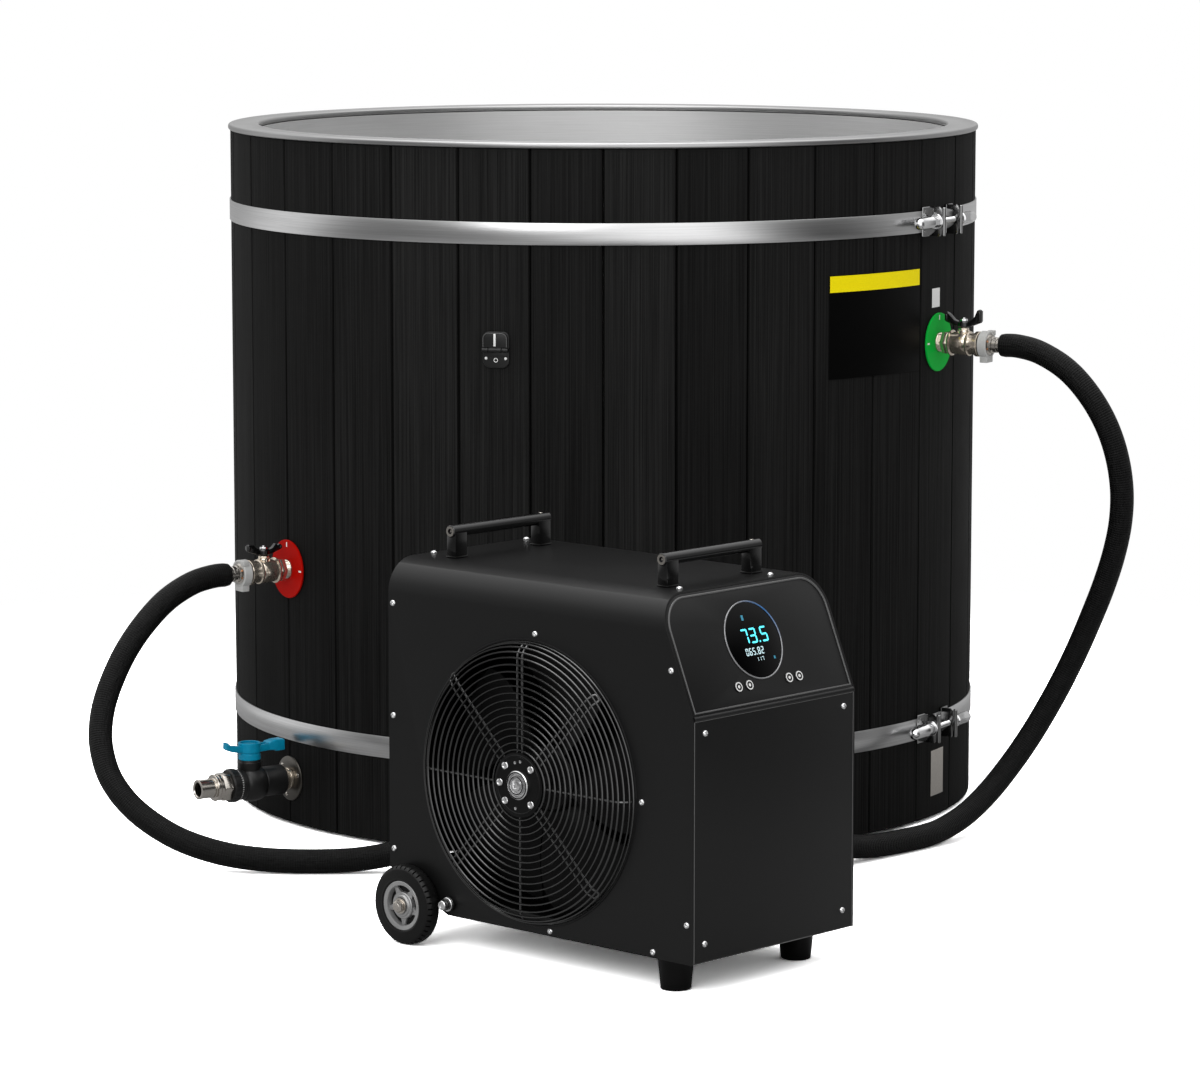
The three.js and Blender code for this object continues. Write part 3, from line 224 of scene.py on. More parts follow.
def wallStrip(inner, outer, fromAngle, toAngle, low, high, steps=24, bevel=0.4):
    # A curved plate round the tub's axis, angles in degrees from the front towards the right
    bm = bmesh.new()
    spinProfile(bm, [(inner, low), (outer, low), (outer, high), (inner, high)], True,
                math.radians(toAngle - fromAngle), steps, False)
    bmesh.ops.holes_fill(bm, edges=[e for e in bm.edges if e.is_boundary], sides=4)
    bmesh.ops.recalc_face_normals(bm, faces=bm.faces)
    rounded(bm, [e for e in bm.edges if e.calc_face_angle(0) > math.radians(60)], bevel, 1)
    bm.transform(turned(fromAngle - 90))
    return bm


def moved(shape, place):
    shape.transform(place)
    return shape


def across(outline, width, bevel=0, segments=2):
    # An outline in X and Z raised evenly to both sides of Y = 0
    return moved(slab(outline, width, bevel, segments), at(0, width / 2) @ standingY)


def tinted(shape, index):
    for face in shape.faces:
        face.material_index = index
    return shape


def meshOf(name, shape):
    mesh = bpy.data.meshes.new(name)
    shape.to_mesh(mesh)
    shape.free()
    return mesh


def together(*shapes):
    whole = bmesh.new()
    for shape in shapes:
        mesh = meshOf("shape", shape)
        whole.from_mesh(mesh)
        bpy.data.meshes.remove(mesh)
    return whole


def piece(name, shape, finishNames, place=None, body=rootBody, replaces="", sharpAngle=35):
    shape.transform(Matrix.Scale(mm, 4) @ (place or Matrix.Identity(4)))
    mesh = meshOf(name, shape)
    for finishName in finishNames.split():
        mesh.materials.append(finishes[finishName])
    mesh.shade_smooth()
    mesh.set_sharp_from_angle(angle=math.radians(sharpAngle))
    obj = linked(name, mesh)
    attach(obj, body)
    if replaces:
        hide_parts(replaces)
    return obj


def carved(shape, cutters, chamfer=0):
    # Cuts the cutters out of a shape, then rounds its sharp edges
    target, *tools = [linked("carve", meshOf("carve", source)) for source in [shape, *cutters]]
    for tool in tools:
        modifier = target.modifiers.new("cut", "BOOLEAN")
        modifier.operation, modifier.solver, modifier.object = "DIFFERENCE", "EXACT", tool
    if chamfer:
        modifier = target.modifiers.new("round", "BEVEL")
        modifier.width, modifier.segments = chamfer, 2
        modifier.limit_method, modifier.angle_limit = "ANGLE", math.radians(40)
    bpy.context.view_layer.update()
    result = bpy.data.meshes.new_from_object(target.evaluated_get(bpy.context.evaluated_depsgraph_get()))
    bm = bmesh.new()
    bm.from_mesh(result)
    for mesh in [target.data, *[tool.data for tool in tools], result]:
        bpy.data.meshes.remove(mesh)
    return bm


def bored(shape, radius, fromX, toX):
    return carved(shape, [rod(radius, toX - fromX, 0.05, 32, "X", fromX)])


# Shader nodes: a feed is a value, or the socket that it comes from
def addNode(tree, kind, feeds=None, **settings):
    node = tree.nodes.new("ShaderNode" + kind)
    for label, value in settings.items():
        setattr(node, label, value)
    for label, feed in (feeds or {}).items():
        if isinstance(feed, bpy.types.NodeSocket):
            tree.links.new(feed, node.inputs[label])
        else:
            node.inputs[label].default_value = feed
    return node


def maths(tree, operation, *feeds):
    return addNode(tree, "Math", dict(enumerate(feeds)), operation=operation).outputs[0]


def scaled(tree, color, factor):
    return addNode(tree, "VectorMath", {0: color, "Scale": factor}, operation="SCALE").outputs[0]


def mapped(tree, value, low, high, toLow=0, toHigh=1, **settings):
    return addNode(tree, "MapRange", {"Value": value, "From Min": low, "From Max": high, "To Min": toLow,
                                      "To Max": toHigh}, **settings).outputs["Result"]


def shaderGroup(name, inputs, outputs):
    tree = bpy.data.node_groups.new(name, "ShaderNodeTree")
    for label, (kind, value) in inputs.items():
        socket = tree.interface.new_socket(name=label, in_out="INPUT", socket_type="NodeSocket" + kind)
        socket.default_value = value
    for label, kind in outputs.items():
        tree.interface.new_socket(name=label, in_out="OUTPUT", socket_type="NodeSocket" + kind)
    return tree, tree.nodes.new("NodeGroupInput").outputs


def putOut(tree, results):
    end = tree.nodes.new("NodeGroupOutput")
    for label, socket in results.items():
        tree.links.new(socket, end.inputs[label])
    return tree


def toneDriftGroup():
    # Slow blotches that darken the colour a little and shift the roughness
    tree, given = shaderGroup("toneDrift", {
        "Vector": ("Vector", (0, 0, 0)), "Color": ("Color", (0.5, 0.5, 0.5, 1)), "Scale": ("Float", 8),
        "Darker": ("Float", 0.1), "Roughness": ("Float", 0.4), "Spread": ("Float", 0.05)},
        {"Color": "Color", "Roughness": "Float"})
    noise = addNode(tree, "TexNoise", {"Vector": given["Vector"], "Scale": given["Scale"], "Detail": 5,
                                       "Roughness": 0.6}).outputs["Fac"]
    shade = maths(tree, "MULTIPLY_ADD", noise, maths(tree, "MULTIPLY", given["Darker"], -1), 1)
    rough = maths(tree, "MULTIPLY_ADD", maths(tree, "SUBTRACT", noise, 0.5), given["Spread"],
                  given["Roughness"])
    return putOut(tree, {"Color": scaled(tree, given["Color"], shade), "Roughness": rough})


def fineGrainGroup():
    # Fine noise stretched by a vector: brush lines, wood fibres or an even pebble
    tree, given = shaderGroup("fineGrain", {
        "Vector": ("Vector", (0, 0, 0)), "Stretch": ("Vector", (500, 500, 500)), "Contrast": ("Float", 0.5)},
        {"Mask": "Float", "Height": "Float"})
    spread = addNode(tree, "VectorMath", {0: given["Vector"], 1: given["Stretch"]},
                     operation="MULTIPLY").outputs[0]
    noise = addNode(tree, "TexNoise", {"Vector": spread, "Scale": 1, "Detail": 6,
                                       "Roughness": 0.65}).outputs["Fac"]
    lowest = maths(tree, "SUBTRACT", 1, given["Contrast"])
    return putOut(tree, {"Mask": mapped(tree, noise, 0.35, 0.65, lowest), "Height": noise})


def roomGlowGroup(s):
    # How bright the room looks in a direction: round the sides by a curve, and even overhead
    tree, given = shaderGroup("roomGlow", {"Vector": ("Vector", (0, 0, 0))}, {"Value": "Float"})
    split = addNode(tree, "SeparateXYZ", {0: given["Vector"]}).outputs
    turn = maths(tree, "ARCTAN2", split["X"], maths(tree, "MULTIPLY", split["Y"], -1))
    curve = addNode(tree, "FloatCurve", {"Value": mapped(tree, turn, -math.pi, math.pi)})
    points = curve.mapping.curves[0].points
    while len(points) < len(s["roomGlow"]):
        points.new(0.5, 0.5)
    for point, (angle, value) in zip(points, s["roomGlow"]):
        point.location = ((angle + 180) / 360, value / 2)
        point.handle_type = "AUTO"
    curve.mapping.update()
    overhead = mapped(tree, split["Z"], *s["overheadFrom"], interpolation_type="SMOOTHSTEP")
    blend = addNode(tree, "Mix", {"Factor": overhead, "A": maths(tree, "MULTIPLY", curve.outputs[0], 2),
                                  "B": s["overheadGlow"]})
    return putOut(tree, {"Value": blend.outputs["Result"]})


toneDrift, fineGrain = toneDriftGroup(), fineGrainGroup()


def placeGroup(tree, group, feeds):
    return addNode(tree, "Group", feeds, node_tree=group).outputs


def newMaterial(name):
    material = bpy.data.materials.new(name)
    material.use_nodes = True
    return material, material.node_tree, material.node_tree.nodes["Principled BSDF"]


def wired(tree, shader, color, roughness, height, strength, depth):
    bump = addNode(tree, "Bump", {"Height": height, "Strength": strength,
                                  "Distance": depth}).outputs["Normal"]
    for label, socket in (("Base Color", color), ("Roughness", roughness), ("Normal", bump)):
        tree.links.new(socket, shader.inputs[label])


def finish(name, color, roughness, metallic=0, specular=0.5, stretch=(900, 900, 900), contrast=0.15,
           bump=0.15, depth=0.0004, driftScale=9, darker=0.15, spread=0.1):
    # A surface with drifting tone, fine grain and a slight bump; a colour given as one number is a grey
    material, tree, shader = newMaterial(name)
    shader.inputs["Metallic"].default_value = metallic
    shader.inputs["Specular IOR Level"].default_value = specular
    lie = addNode(tree, "TexCoord").outputs["Object"]
    tone = color if isinstance(color, tuple) else (color, color, color)
    drift = placeGroup(tree, toneDrift, {"Vector": lie, "Color": (*tone, 1), "Scale": driftScale,
                                         "Darker": darker, "Roughness": roughness, "Spread": spread})
    grain = placeGroup(tree, fineGrain, {"Vector": lie, "Stretch": stretch, "Contrast": contrast})
    wired(tree, shader, scaled(tree, drift["Color"], grain["Mask"]), drift["Roughness"], grain["Height"],
          bump, depth)
    return material


finishSettings = dict(
    linerSteel=dict(color=0.7, metallic=0.75, roughness=0.45, stretch=(8, 8, 700), contrast=0.1, bump=0.08,
                    driftScale=3),
    rimSteel=dict(color=0.4, metallic=1, roughness=0.4, stretch=(10, 10, 600), contrast=0.08, bump=0.05,
                  driftScale=4),
    bandSteel=dict(color=(0.69, 0.69, 0.693), metallic=1, roughness=0.3, stretch=(6, 6, 1300), contrast=0.22,
                   bump=0.12, driftScale=5, darker=0.2),
    # A darker copy of the band steel for the lugs: painted dark reflection
    lugSteel=dict(color=0.34, metallic=1, roughness=0.14, bump=0.06, darker=0.45, driftScale=60),
    polishedSteel=dict(color=(0.76, 0.76, 0.765), metallic=1, roughness=0.2, contrast=0.1, driftScale=60,
                       bump=0.06),
    satinSteel=dict(color=(0.66, 0.62, 0.57), metallic=1, roughness=0.2, contrast=0.2, driftScale=50,
                    bump=0.1),
    flangeSteel=dict(color=(0.15, 0.14, 0.125), metallic=0.95, roughness=0.34, contrast=0.25, bump=0.1,
                     driftScale=40, darker=0.3),
    nickel=dict(color=(0.82, 0.72, 0.6), metallic=0.9, roughness=0.16, contrast=0.16, driftScale=90,
                darker=0.4, bump=0.08),
    copperDot=dict(color=(0.45, 0.2, 0.09), metallic=1, roughness=0.3, driftScale=60, bump=0.05),
    # Fin metal made dark, painting the shade inside the cabinet
    coilFins=dict(color=0.1, metallic=0.9, roughness=0.45, stretch=(700, 700, 20), contrast=0.4, bump=0.4),
    sawnWood=dict(color=(0.3, 0.21, 0.13), roughness=0.75, stretch=(60, 700, 700), contrast=0.4, bump=0.35,
                  darker=0.35),
    stainedStaves=dict(color=(0.0175, 0.0175, 0.0172), roughness=0.62, specular=0.03, stretch=(640, 640, 3),
                       contrast=0.72, bump=0.6, depth=0.0007, driftScale=5, darker=0.3, spread=0.16),
    blackPlastic=dict(color=0.0075, roughness=0.42, specular=0.35, bump=0.12, spread=0.14),
    glossBlack=dict(color=0.0035, roughness=0.16, specular=0.5, bump=0.05, driftScale=40),
    greyPlastic=dict(color=(0.52, 0.52, 0.51), roughness=0.5, specular=0.35, bump=0.1, darker=0.12,
                     driftScale=40),
    bluePlastic=dict(color=(0.002, 0.3, 0.5), roughness=0.34, specular=0.16, bump=0.08, darker=0.3,
                     driftScale=50),
    greenPrint=dict(color=(0.005, 0.46, 0.05), roughness=0.4, specular=0.03, bump=0.04, driftScale=30),
    redPrint=dict(color=(0.42, 0.0042, 0.0015), roughness=0.4, specular=0.02, bump=0.04, driftScale=30),
    whitePrint=dict(color=(0.85, 0.85, 0.84), roughness=0.45, bump=0.03, darker=0.06),
    signBlack=dict(color=0.0016, roughness=0.35, specular=0.06, bump=0.04),
    signYellow=dict(color=(1.0, 0.83, 0.002), roughness=0.42, specular=0.06, bump=0.03, darker=0.08),
    tagWhite=dict(color=(0.8, 0.8, 0.79), roughness=0.5, bump=0.04, darker=0.08),
    powderCoat=dict(color=(0.0058, 0.0058, 0.0059), roughness=0.36, specular=0.25, stretch=(1400, 1400, 1400),
                    contrast=0.25, bump=0.25, depth=0.0002, spread=0.06),
    wireCoat=dict(color=0.005, roughness=0.2, specular=0.9, bump=0.05),
    # The spokes' coat is the wire coat with more specular and a lighter colour; the lighter colour paints
    # their highlights
    spokeCoat=dict(color=0.016, roughness=0.22, specular=1, bump=0.05),
    # Lighter grey that paints highlight lines along edges
    edgeLine=dict(color=0.11, roughness=0.4, specular=0.5, bump=0.04, darker=0.45, driftScale=30),
    displayBlack=dict(color=(0.0009, 0.0009, 0.001), roughness=0.16, specular=0.08, bump=0.01, contrast=0.05,
                      spread=0.02),
    displayRim=dict(color=(0.3, 0.3, 0.31), metallic=0.6, roughness=0.3, bump=0.04),
    # Deeper black: on the rotor it paints the shade inside the cabinet; the grille's centre plate is this
    # black too
    rotorBlack=dict(color=0.0022, roughness=0.45, specular=0.14, bump=0.08),
    machineBlack=dict(color=0.004, roughness=0.35, specular=0.2, bump=0.06),
    tyreBlack=dict(color=0.0045, roughness=0.42, specular=0.22, bump=0.3, contrast=0.35, driftScale=40,
                   spread=0.2),
    wheelGrey=dict(color=0.42, metallic=0.55, roughness=0.3, bump=0.08, darker=0.3, driftScale=60),
    footBlack=dict(color=0.0025, roughness=0.26, specular=0.18, bump=0.05),
)
finishes = {name: finish(name, **settings) for name, settings in finishSettings.items()}


def reworked(name, change):
    # Puts one more step between a finish's colour and its shader
    tree = finishes[name].node_tree
    color = tree.nodes["Principled BSDF"].inputs["Base Color"]
    tree.links.new(change(tree, color.links[0].from_socket), color)


def boardTone(tree, source):
    # Each board is a slightly different tone
    return scaled(tree, source, addNode(tree, "Attribute", attribute_name="boardTone").outputs["Fac"])


def paintedBlueReflection(tree, source):
    # The display's grey rim gets a painted blue reflection on its upper right
    share = addNode(tree, "Attribute", attribute_name="blueReflectionShare").outputs["Fac"]
    feeds = {"Factor": share, "A": source, "B": (0.05, 0.2, 0.5, 1)}
    return addNode(tree, "Mix", feeds, data_type="RGBA").outputs["Result"]


reworked("stainedStaves", boardTone)
reworked("displayRim", paintedBlueReflection)

# Foam sleeve of the hoses: fine threads round it and one slit seam along it
hoseLook = dict(color=(0.0082, 0.0082, 0.0082, 1), specular=0.1, slitFrom=0.985, slitTo=0.999, slitDark=0.25,
                ribPitch=3.2, ribTone=0.35, ribHeight=0.3, bump=0.75, depth=0.001, driftScale=0.9,
                darker=0.35, roughness=0.42, spread=0.16, stretch=(9, 9, 0.07), contrast=0.85)


def hoseFinish():
    s = hoseLook
    material, tree, shader = newMaterial("hoseSleeve")
    shader.inputs["Specular IOR Level"].default_value = s["specular"]
    lie = addNode(tree, "Attribute", attribute_name="hoseLie").outputs["Vector"]    # as swept() writes it
    drift = placeGroup(tree, toneDrift, {"Vector": lie, "Color": s["color"], "Scale": s["driftScale"],
                                         "Darker": s["darker"], "Roughness": s["roughness"],
                                         "Spread": s["spread"]})
    grain = placeGroup(tree, fineGrain, {"Vector": lie, "Stretch": s["stretch"], "Contrast": s["contrast"]})
    split = addNode(tree, "SeparateXYZ", {0: lie}).outputs
    slit = mapped(tree, split["X"], s["slitFrom"], s["slitTo"], 1, s["slitDark"])
    shade = maths(tree, "MULTIPLY", grain["Mask"], slit)
    ribs = maths(tree, "SINE", maths(tree, "MULTIPLY", split["Z"], math.tau / s["ribPitch"]))
    tone = scaled(tree, drift["Color"], maths(tree, "MULTIPLY_ADD", ribs, s["ribTone"], shade))
    relief = maths(tree, "MULTIPLY_ADD", ribs, s["ribHeight"], shade)
    wired(tree, shader, tone, drift["Roughness"], relief, s["bump"], s["depth"])
    return material


def litFinish(name, color, strength):
    # The display's shining figures
    material, tree, shader = newMaterial(name)
    for label, value in (("Base Color", (*color, 1)), ("Emission Color", (*color, 1)),
                         ("Emission Strength", strength)):
        shader.inputs[label].default_value = value
    return material


finishes["hoseSleeve"] = hoseFinish()
for name, color, strength in (("litCyan", (0.08, 0.72, 0.85), 1.0), ("litWhite", (0.45, 0.62, 0.66), 0.6),
                              ("litDim", (0.02, 0.16, 0.24), 0.6)):
    finishes[name] = litFinish(name, color, strength)


def keepSolids(**nodes):
    # CAD nodes whose shape is right only get a better finish
    for node, name in nodes.items():
        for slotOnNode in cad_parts[node].material_slots:
            slotOnNode.material = finishes[name]


keepSolids(floor_board="sawnWood", base_frame="sawnWood", fan_motor="machineBlack", compressor="machineBlack",
           heat_exchanger="blackPlastic", circulation_pump="blackPlastic")
print("materials made:", len(finishes))


# Hoses: the routes of the CAD tubes, in metres
hoseSettings = dict(radius=16, sides=28, stepLength=6, endRadius=15, endLength=4)
supplyRoute = [
    (0.5412, -0.3074, 0.664), (0.562, -0.3195, 0.664), (0.591, -0.3365, 0.6565), (0.625, -0.356, 0.6355),
    (0.6535, -0.371, 0.6035), (0.676, -0.38, 0.5645), (0.691, -0.3825, 0.521), (0.6985, -0.3795, 0.475),
    (0.698, -0.372, 0.4295), (0.6905, -0.3615, 0.3835), (0.6785, -0.35, 0.3385), (0.6635, -0.339, 0.294),
    (0.6465, -0.3305, 0.2495), (0.627, -0.3255, 0.206), (0.6045, -0.3255, 0.1635), (0.5795, -0.332, 0.1235),
    (0.5515, -0.3455, 0.087), (0.522, -0.3665, 0.056), (0.4905, -0.395, 0.033), (0.4575, -0.428, 0.02),
    (0.4315, -0.4555, 0.0165), (0.405, -0.483, 0.0165), (0.3775, -0.51, 0.017), (0.35, -0.5365, 0.019),
    (0.319, -0.5645, 0.025), (0.288, -0.5915, 0.035), (0.258, -0.6175, 0.049), (0.2285, -0.6425, 0.065),
    (0.1995, -0.6675, 0.082), (0.171, -0.6935, 0.0975), (0.142, -0.7205, 0.111), (0.1125, -0.7495, 0.1205),
    (0.084, -0.779, 0.125), (0.0566, -0.8084, 0.125),
]
returnRoute = [
    (-0.5091, -0.3578, 0.357), (-0.5285, -0.3715, 0.3565), (-0.555, -0.392, 0.35), (-0.585, -0.4165, 0.3325),
    (-0.6115, -0.44, 0.306), (-0.6345, -0.4615, 0.274), (-0.652, -0.4825, 0.2385), (-0.664, -0.504, 0.201),
    (-0.6665, -0.526, 0.163), (-0.657, -0.548, 0.127), (-0.6405, -0.565, 0.1005), (-0.617, -0.58, 0.0775),
    (-0.5895, -0.5925, 0.059), (-0.558, -0.6025, 0.043), (-0.5235, -0.6105, 0.0315),
               (-0.488, -0.6155, 0.0235),
    (-0.451, -0.6185, 0.019), (-0.4175, -0.6195, 0.017), (-0.3835, -0.62, 0.0165), (-0.35, -0.6195, 0.017),
    (-0.3165, -0.6195, 0.0195), (-0.2775, -0.62, 0.0265), (-0.239, -0.623, 0.0385), (-0.203, -0.6285, 0.055),
    (-0.1685, -0.6375, 0.073), (-0.1355, -0.651, 0.0915), (-0.1035, -0.6685, 0.1075),
               (-0.072, -0.6905, 0.119),
    (-0.0425, -0.715, 0.125), (-0.0162, -0.7395, 0.125),
]


def smoothRoute(route, stepLength):
    # A Catmull-Rom curve through the points, in millimetres
    points = [Vector(point) / mm for point in route]
    padded = [points[0] * 2 - points[1], *points, points[-1] * 2 - points[-2]]
    path = []
    for before, start, end, after in zip(padded, padded[1:], padded[2:], padded[3:]):
        steps = max(1, round((end - start).length / stepLength))
        for i in range(steps):
            t = i / steps
            bend = 2 * before - 5 * start + 4 * end - after
            twist = 3 * start - before - 3 * end + after
            path.append(0.5 * (2 * start + (end - before) * t + bend * t ** 2 + twist * t ** 3))
    return [*path, points[-1]]


def makeHose(name, route, node):
    radius, sides, stepLength = pick(hoseSettings, "radius sides stepLength")
    endRadius, endLength = pick(hoseSettings, "endRadius endLength")
    path = smoothRoute(route, stepLength)
    lengths = [0]
    for a, b in zip(path, path[1:]):
        lengths.append(lengths[-1] + (b - a).length)
    total = lengths[-1]
    radii = [endRadius + (radius - endRadius) * min(1, done / endLength, (total - done) / endLength)
             for done in lengths]
    obj = piece(name, swept(path, radii, sides, "hoseLie"), "hoseSleeve", replaces=node,
                sharpAngle=60)
    print(name, "length", round(total), "mm")


makeHose("supplyHoseSleeve", supplyRoute, "supply_hose")
makeHose("returnHoseSleeve", returnRoute, "return_hose")

# Tub: black-stained staves round a steel liner
tubSettings = dict(radius=525, height=942, thickness=38, staves=32, panels=8, grooveWidth=4.6, grooveDepth=5,
                   footGap=4, endRound=1.5, linerOut=486.7, linerIn=484.7, linerFloor=38.6, linerCove=14,
                   linerSheet=2, rimLow=942.3, rimHigh=950.3, rimOut=528, rimRound=3.2, toneSpread=0.5,
                   toneSeeds=(12.9898, 43758.5453), seams=(0, 10.55, 21.35, 32.3, 43.6, 55.1, 66.8, 78.4, 90))
wallPorts = {"supply": (60.4, 664), "return": (-54.9, 357), "drain": (-54.9, 66)}     # angle and height
portRadii = {"supply": 13.4, "return": 13.4, "drain": 11.4}


def seamAngles():
    # The front boards differ a little in width, the rear ones are even; angles count from the front
    front, staves = pick(tubSettings, "seams staves")
    rear = [90 + 360 / staves * i for i in range(staves // 2 + 1)]
    return [*front[:-1], *rear, *[360 - angle for angle in front[-2:0:-1]], 360]


def staveShape(start, end):
    radius, height, thickness, foot = pick(tubSettings, "radius height thickness footGap")
    width, depth, edge = pick(tubSettings, "grooveWidth grooveDepth endRound")
    step, inner = end - start, radius - thickness + fitGap
    gap, half = math.degrees(fitGap / 2 / radius), math.degrees(width / 2 / radius)
    face = [(radius, step * i / 8) for i in range(1, 8)]
    corners = [(radius - depth, gap), (radius, half), *face, (radius, step - half),
               (radius - depth, step - gap), (inner, step - gap), (inner, step / 2), (inner, gap)]
    outline = [polar(reach, start + angle) for reach, angle in corners]
    return moved(slab(outline, height - foot, edge), at(0, 0, foot))


def boardTones(shape):
    # Each board takes its own tone from its place round the tub
    layer = shape.verts.layers.float.new("boardTone")
    seams = seamAngles()
    spread, (stepSeed, bigSeed) = pick(tubSettings, "toneSpread toneSeeds")
    for v in shape.verts:
        turn = (math.degrees(math.atan2(v.co.y, v.co.x)) + 90) % 360
        board = sum(1 for seam in seams if seam <= turn)
        v[layer] = 1 + spread * (math.sin(board * stepSeed) * bigSeed % 1 - 0.5)
    return shape


def wallDrills(names, start, length=60):
    return [moved(drill(portRadii[name], length, start), onWall(*wallPorts[name])) for name in names]


def buildStaves():
    radius, staves, panels = pick(tubSettings, "radius staves panels")
    seams, share = seamAngles(), staves // panels
    for i in range(panels):
        own = seams[i * share:(i + 1) * share + 1]
        shape = together(*[staveShape(a - 90, b - 90) for a, b in zip(own, own[1:])])
        crossed = [name for name, port in wallPorts.items() if own[0] - 2 < port[0] % 360 < own[-1] + 2]
        if crossed:
            shape = carved(shape, wallDrills(crossed, radius - 50))
        piece(f"stavePanel{i + 1}", boardTones(shape), "stainedStaves",
              replaces=f"stave_panel_{i + 1}", sharpAngle=25)
    print("staves made")


def buildLiner():
    outer, inner, floor, cove, sheet = pick(tubSettings, "linerOut linerIn linerFloor linerCove linerSheet")
    top = tubSettings["height"] - fitGap
    liner = spun([(0, floor), *arcPoints(outer - cove, floor + cove, cove, -90, 0, 6), (outer, top),
                  (inner, top), *arcPoints(inner - cove + sheet, floor + cove, cove - sheet, 0, -90, 6),
                  (0, floor + sheet)], 192)
    piece("steelLiner", carved(liner, wallDrills(wallPorts, inner - 30)), "linerSteel",
          replaces="liner")
    r, low, high, out = pick(tubSettings, "rimRound rimLow rimHigh rimOut")
    rim = arcPoints(out - r, low + r, r, -90, 0, 5) + arcPoints(out - r, high - r, r, 0, 90, 5)
    rim += [(out - 2 * r, high - 0.5), (out - 2 * r - 1.6, high - 1.4),
            # the flat lies below its rolled edges
            (inner + 2 * r + 1.6, high - 1.4), (inner + 2 * r, high - 0.5)]
    rim += arcPoints(inner + r, high - r, r, 90, 180, 5) + arcPoints(inner + r, low + r, r, 180, 270, 5)
    piece("rolledRim", hollow(rim, 256), "rimSteel", replaces="rim_ring")
    print("liner and rim made")


# Inside ends of the three wall fittings: a flat nut and a slotted strainer cap
inletSettings = dict(nutRadius=26, nutLength=7, capRadius=19, capLength=5, slotWidth=2.4, slotDepth=2.6,
                     slotReach=0.72, slots=(-10, -5, 0, 5, 10),
                     scales={"supply": 1, "return": 1, "drain": 0.8})


def buildInlets():
    nutRadius, nutLength, capRadius, capLength = pick(inletSettings,
                                                      "nutRadius nutLength capRadius capLength")
    width, depth, share, slots, scales = pick(inletSettings, "slotWidth slotDepth slotReach slots scales")
    nutStart = tubSettings["linerIn"] - fitGap - nutLength
    front = nutStart - capLength
    for name, scale in scales.items():
        cuts = []
        for z in [slot * scale for slot in slots]:
            half = math.sqrt((capRadius * scale * share) ** 2 - z ** 2)
            cuts.append(brick((front - 2, -half, z - width / 2), (front + depth, half, z + width / 2), 0))
        cap = carved(rod(capRadius * scale, capLength - 0.2, 1.4, 48, "X", front), cuts, 0.3)
        nut = rod(nutRadius * scale, nutLength, 1.2, 48, "X", nutStart)
        piece(f"{name}Strainer", together(nut, cap), "satinSteel", onWall(*wallPorts[name]))


buildStaves()
buildLiner()
buildInlets()

# Steel bands, each closed by a bolt through two lugs
bandSettings = dict(inner=525.3, outer=526.9, height=29, middles=dict(upper=831, lower=134), clampAngle=59.7,
                    lugAt=26, lugThickness=4, lugHeight=40, lugEnd=548.9, curl=3, footLength=20,
                    footThickness=2.4, weldAt=13, boltAt=538.9, shank=4, threads=46, hexRadius=7.5,
                    hexLength=16, domeRadius=8.7, domeLength=42)


def lugShape(side):
    outer, lugAt, thick, height, end = pick(bandSettings, "outer lugAt lugThickness lugHeight lugEnd")
    curlRadius, footLength, footThick, weldAt = pick(bandSettings, "curl footLength footThickness weldAt")
    half, tall, middle = thick / 2, height / 2, side * lugAt
    outline = [(outer - 4, -tall), (end - 6, -tall), (end - 2.4, -tall + 3.6), (end - 2.4, tall - 3.6),
               (end - 6, tall), (outer - 4, tall)]
    plate = moved(across(outline, thick - 1, 0.7), at(0, middle))
    curl = moved(rod(curlRadius, height - 1, 1, 24), at(end, middle, -tall + 0.5))
    earStart = half - 0.6 if side > 0 else -half - 1
    ear = moved(rod(9.5, 1.6, 0.5, 32, "Y"), at(bandSettings["boltAt"], middle + earStart))
    begin, stop = sorted(math.degrees(side * (lugAt + y) / outer) for y in (-half, footLength))
    foot = moved(wallStrip(outer - 0.4, outer + footThick, begin, stop, -tall, tall, 4, 0.8), turned(90))
    weldTurn = turned(math.degrees(side * (lugAt + weldAt) / outer))
    welds = [moved(rod(2.6, 0.7, 0.3, 16, "X"), weldTurn @ at(outer + footThick - 0.3, 0, z))
             for z in (-13, 0, 13)]
    return together(plate, curl, ear, foot, *welds)


def clampBoltShape():
    shank, count, hexRadius, hexLength = pick(bandSettings, "shank threads hexRadius hexLength")
    r, domeLength, lugAt, lugThickness = pick(bandSettings, "domeRadius domeLength lugAt lugThickness")
    seat = lugAt + lugThickness / 2 + 0.6
    pitch = 2 * seat / count
    threads = [(0, -seat)]
    for i in range(count):
        threads += [(shank, pitch * i - seat + 0.1), (shank - 0.55, pitch * (i + 0.5) - seat)]
    shapes = [spun([*threads, (shank, seat), (0, seat)], 24, "Y")]
    begin, tip = seat + hexLength - 1.2, seat + hexLength + domeLength
    dome = [(0, begin), (r - 1.4, begin), (r, begin + 1.4), (r, begin + 4), (r - 0.7, begin + 5),
            (r - 0.7, tip - r)]
    dome += [((r - 0.7) * math.cos(a), tip - r + r * math.sin(a))
             for a in [math.radians(i * 15) for i in range(1, 6)]]
    for angle in (0, 180):
        washer = rod(hexRadius + 3, 1.8, 0.5, 32, "Y", seat)
        hexagon = hexNut(hexRadius + 0.6, hexLength - 3, 0.8, "Y", seat + 1.8)
        shapes.append(moved(together(washer, hexagon, spun([*dome, (0, tip)], 40, "Y")), turned(angle)))
    return together(*shapes)


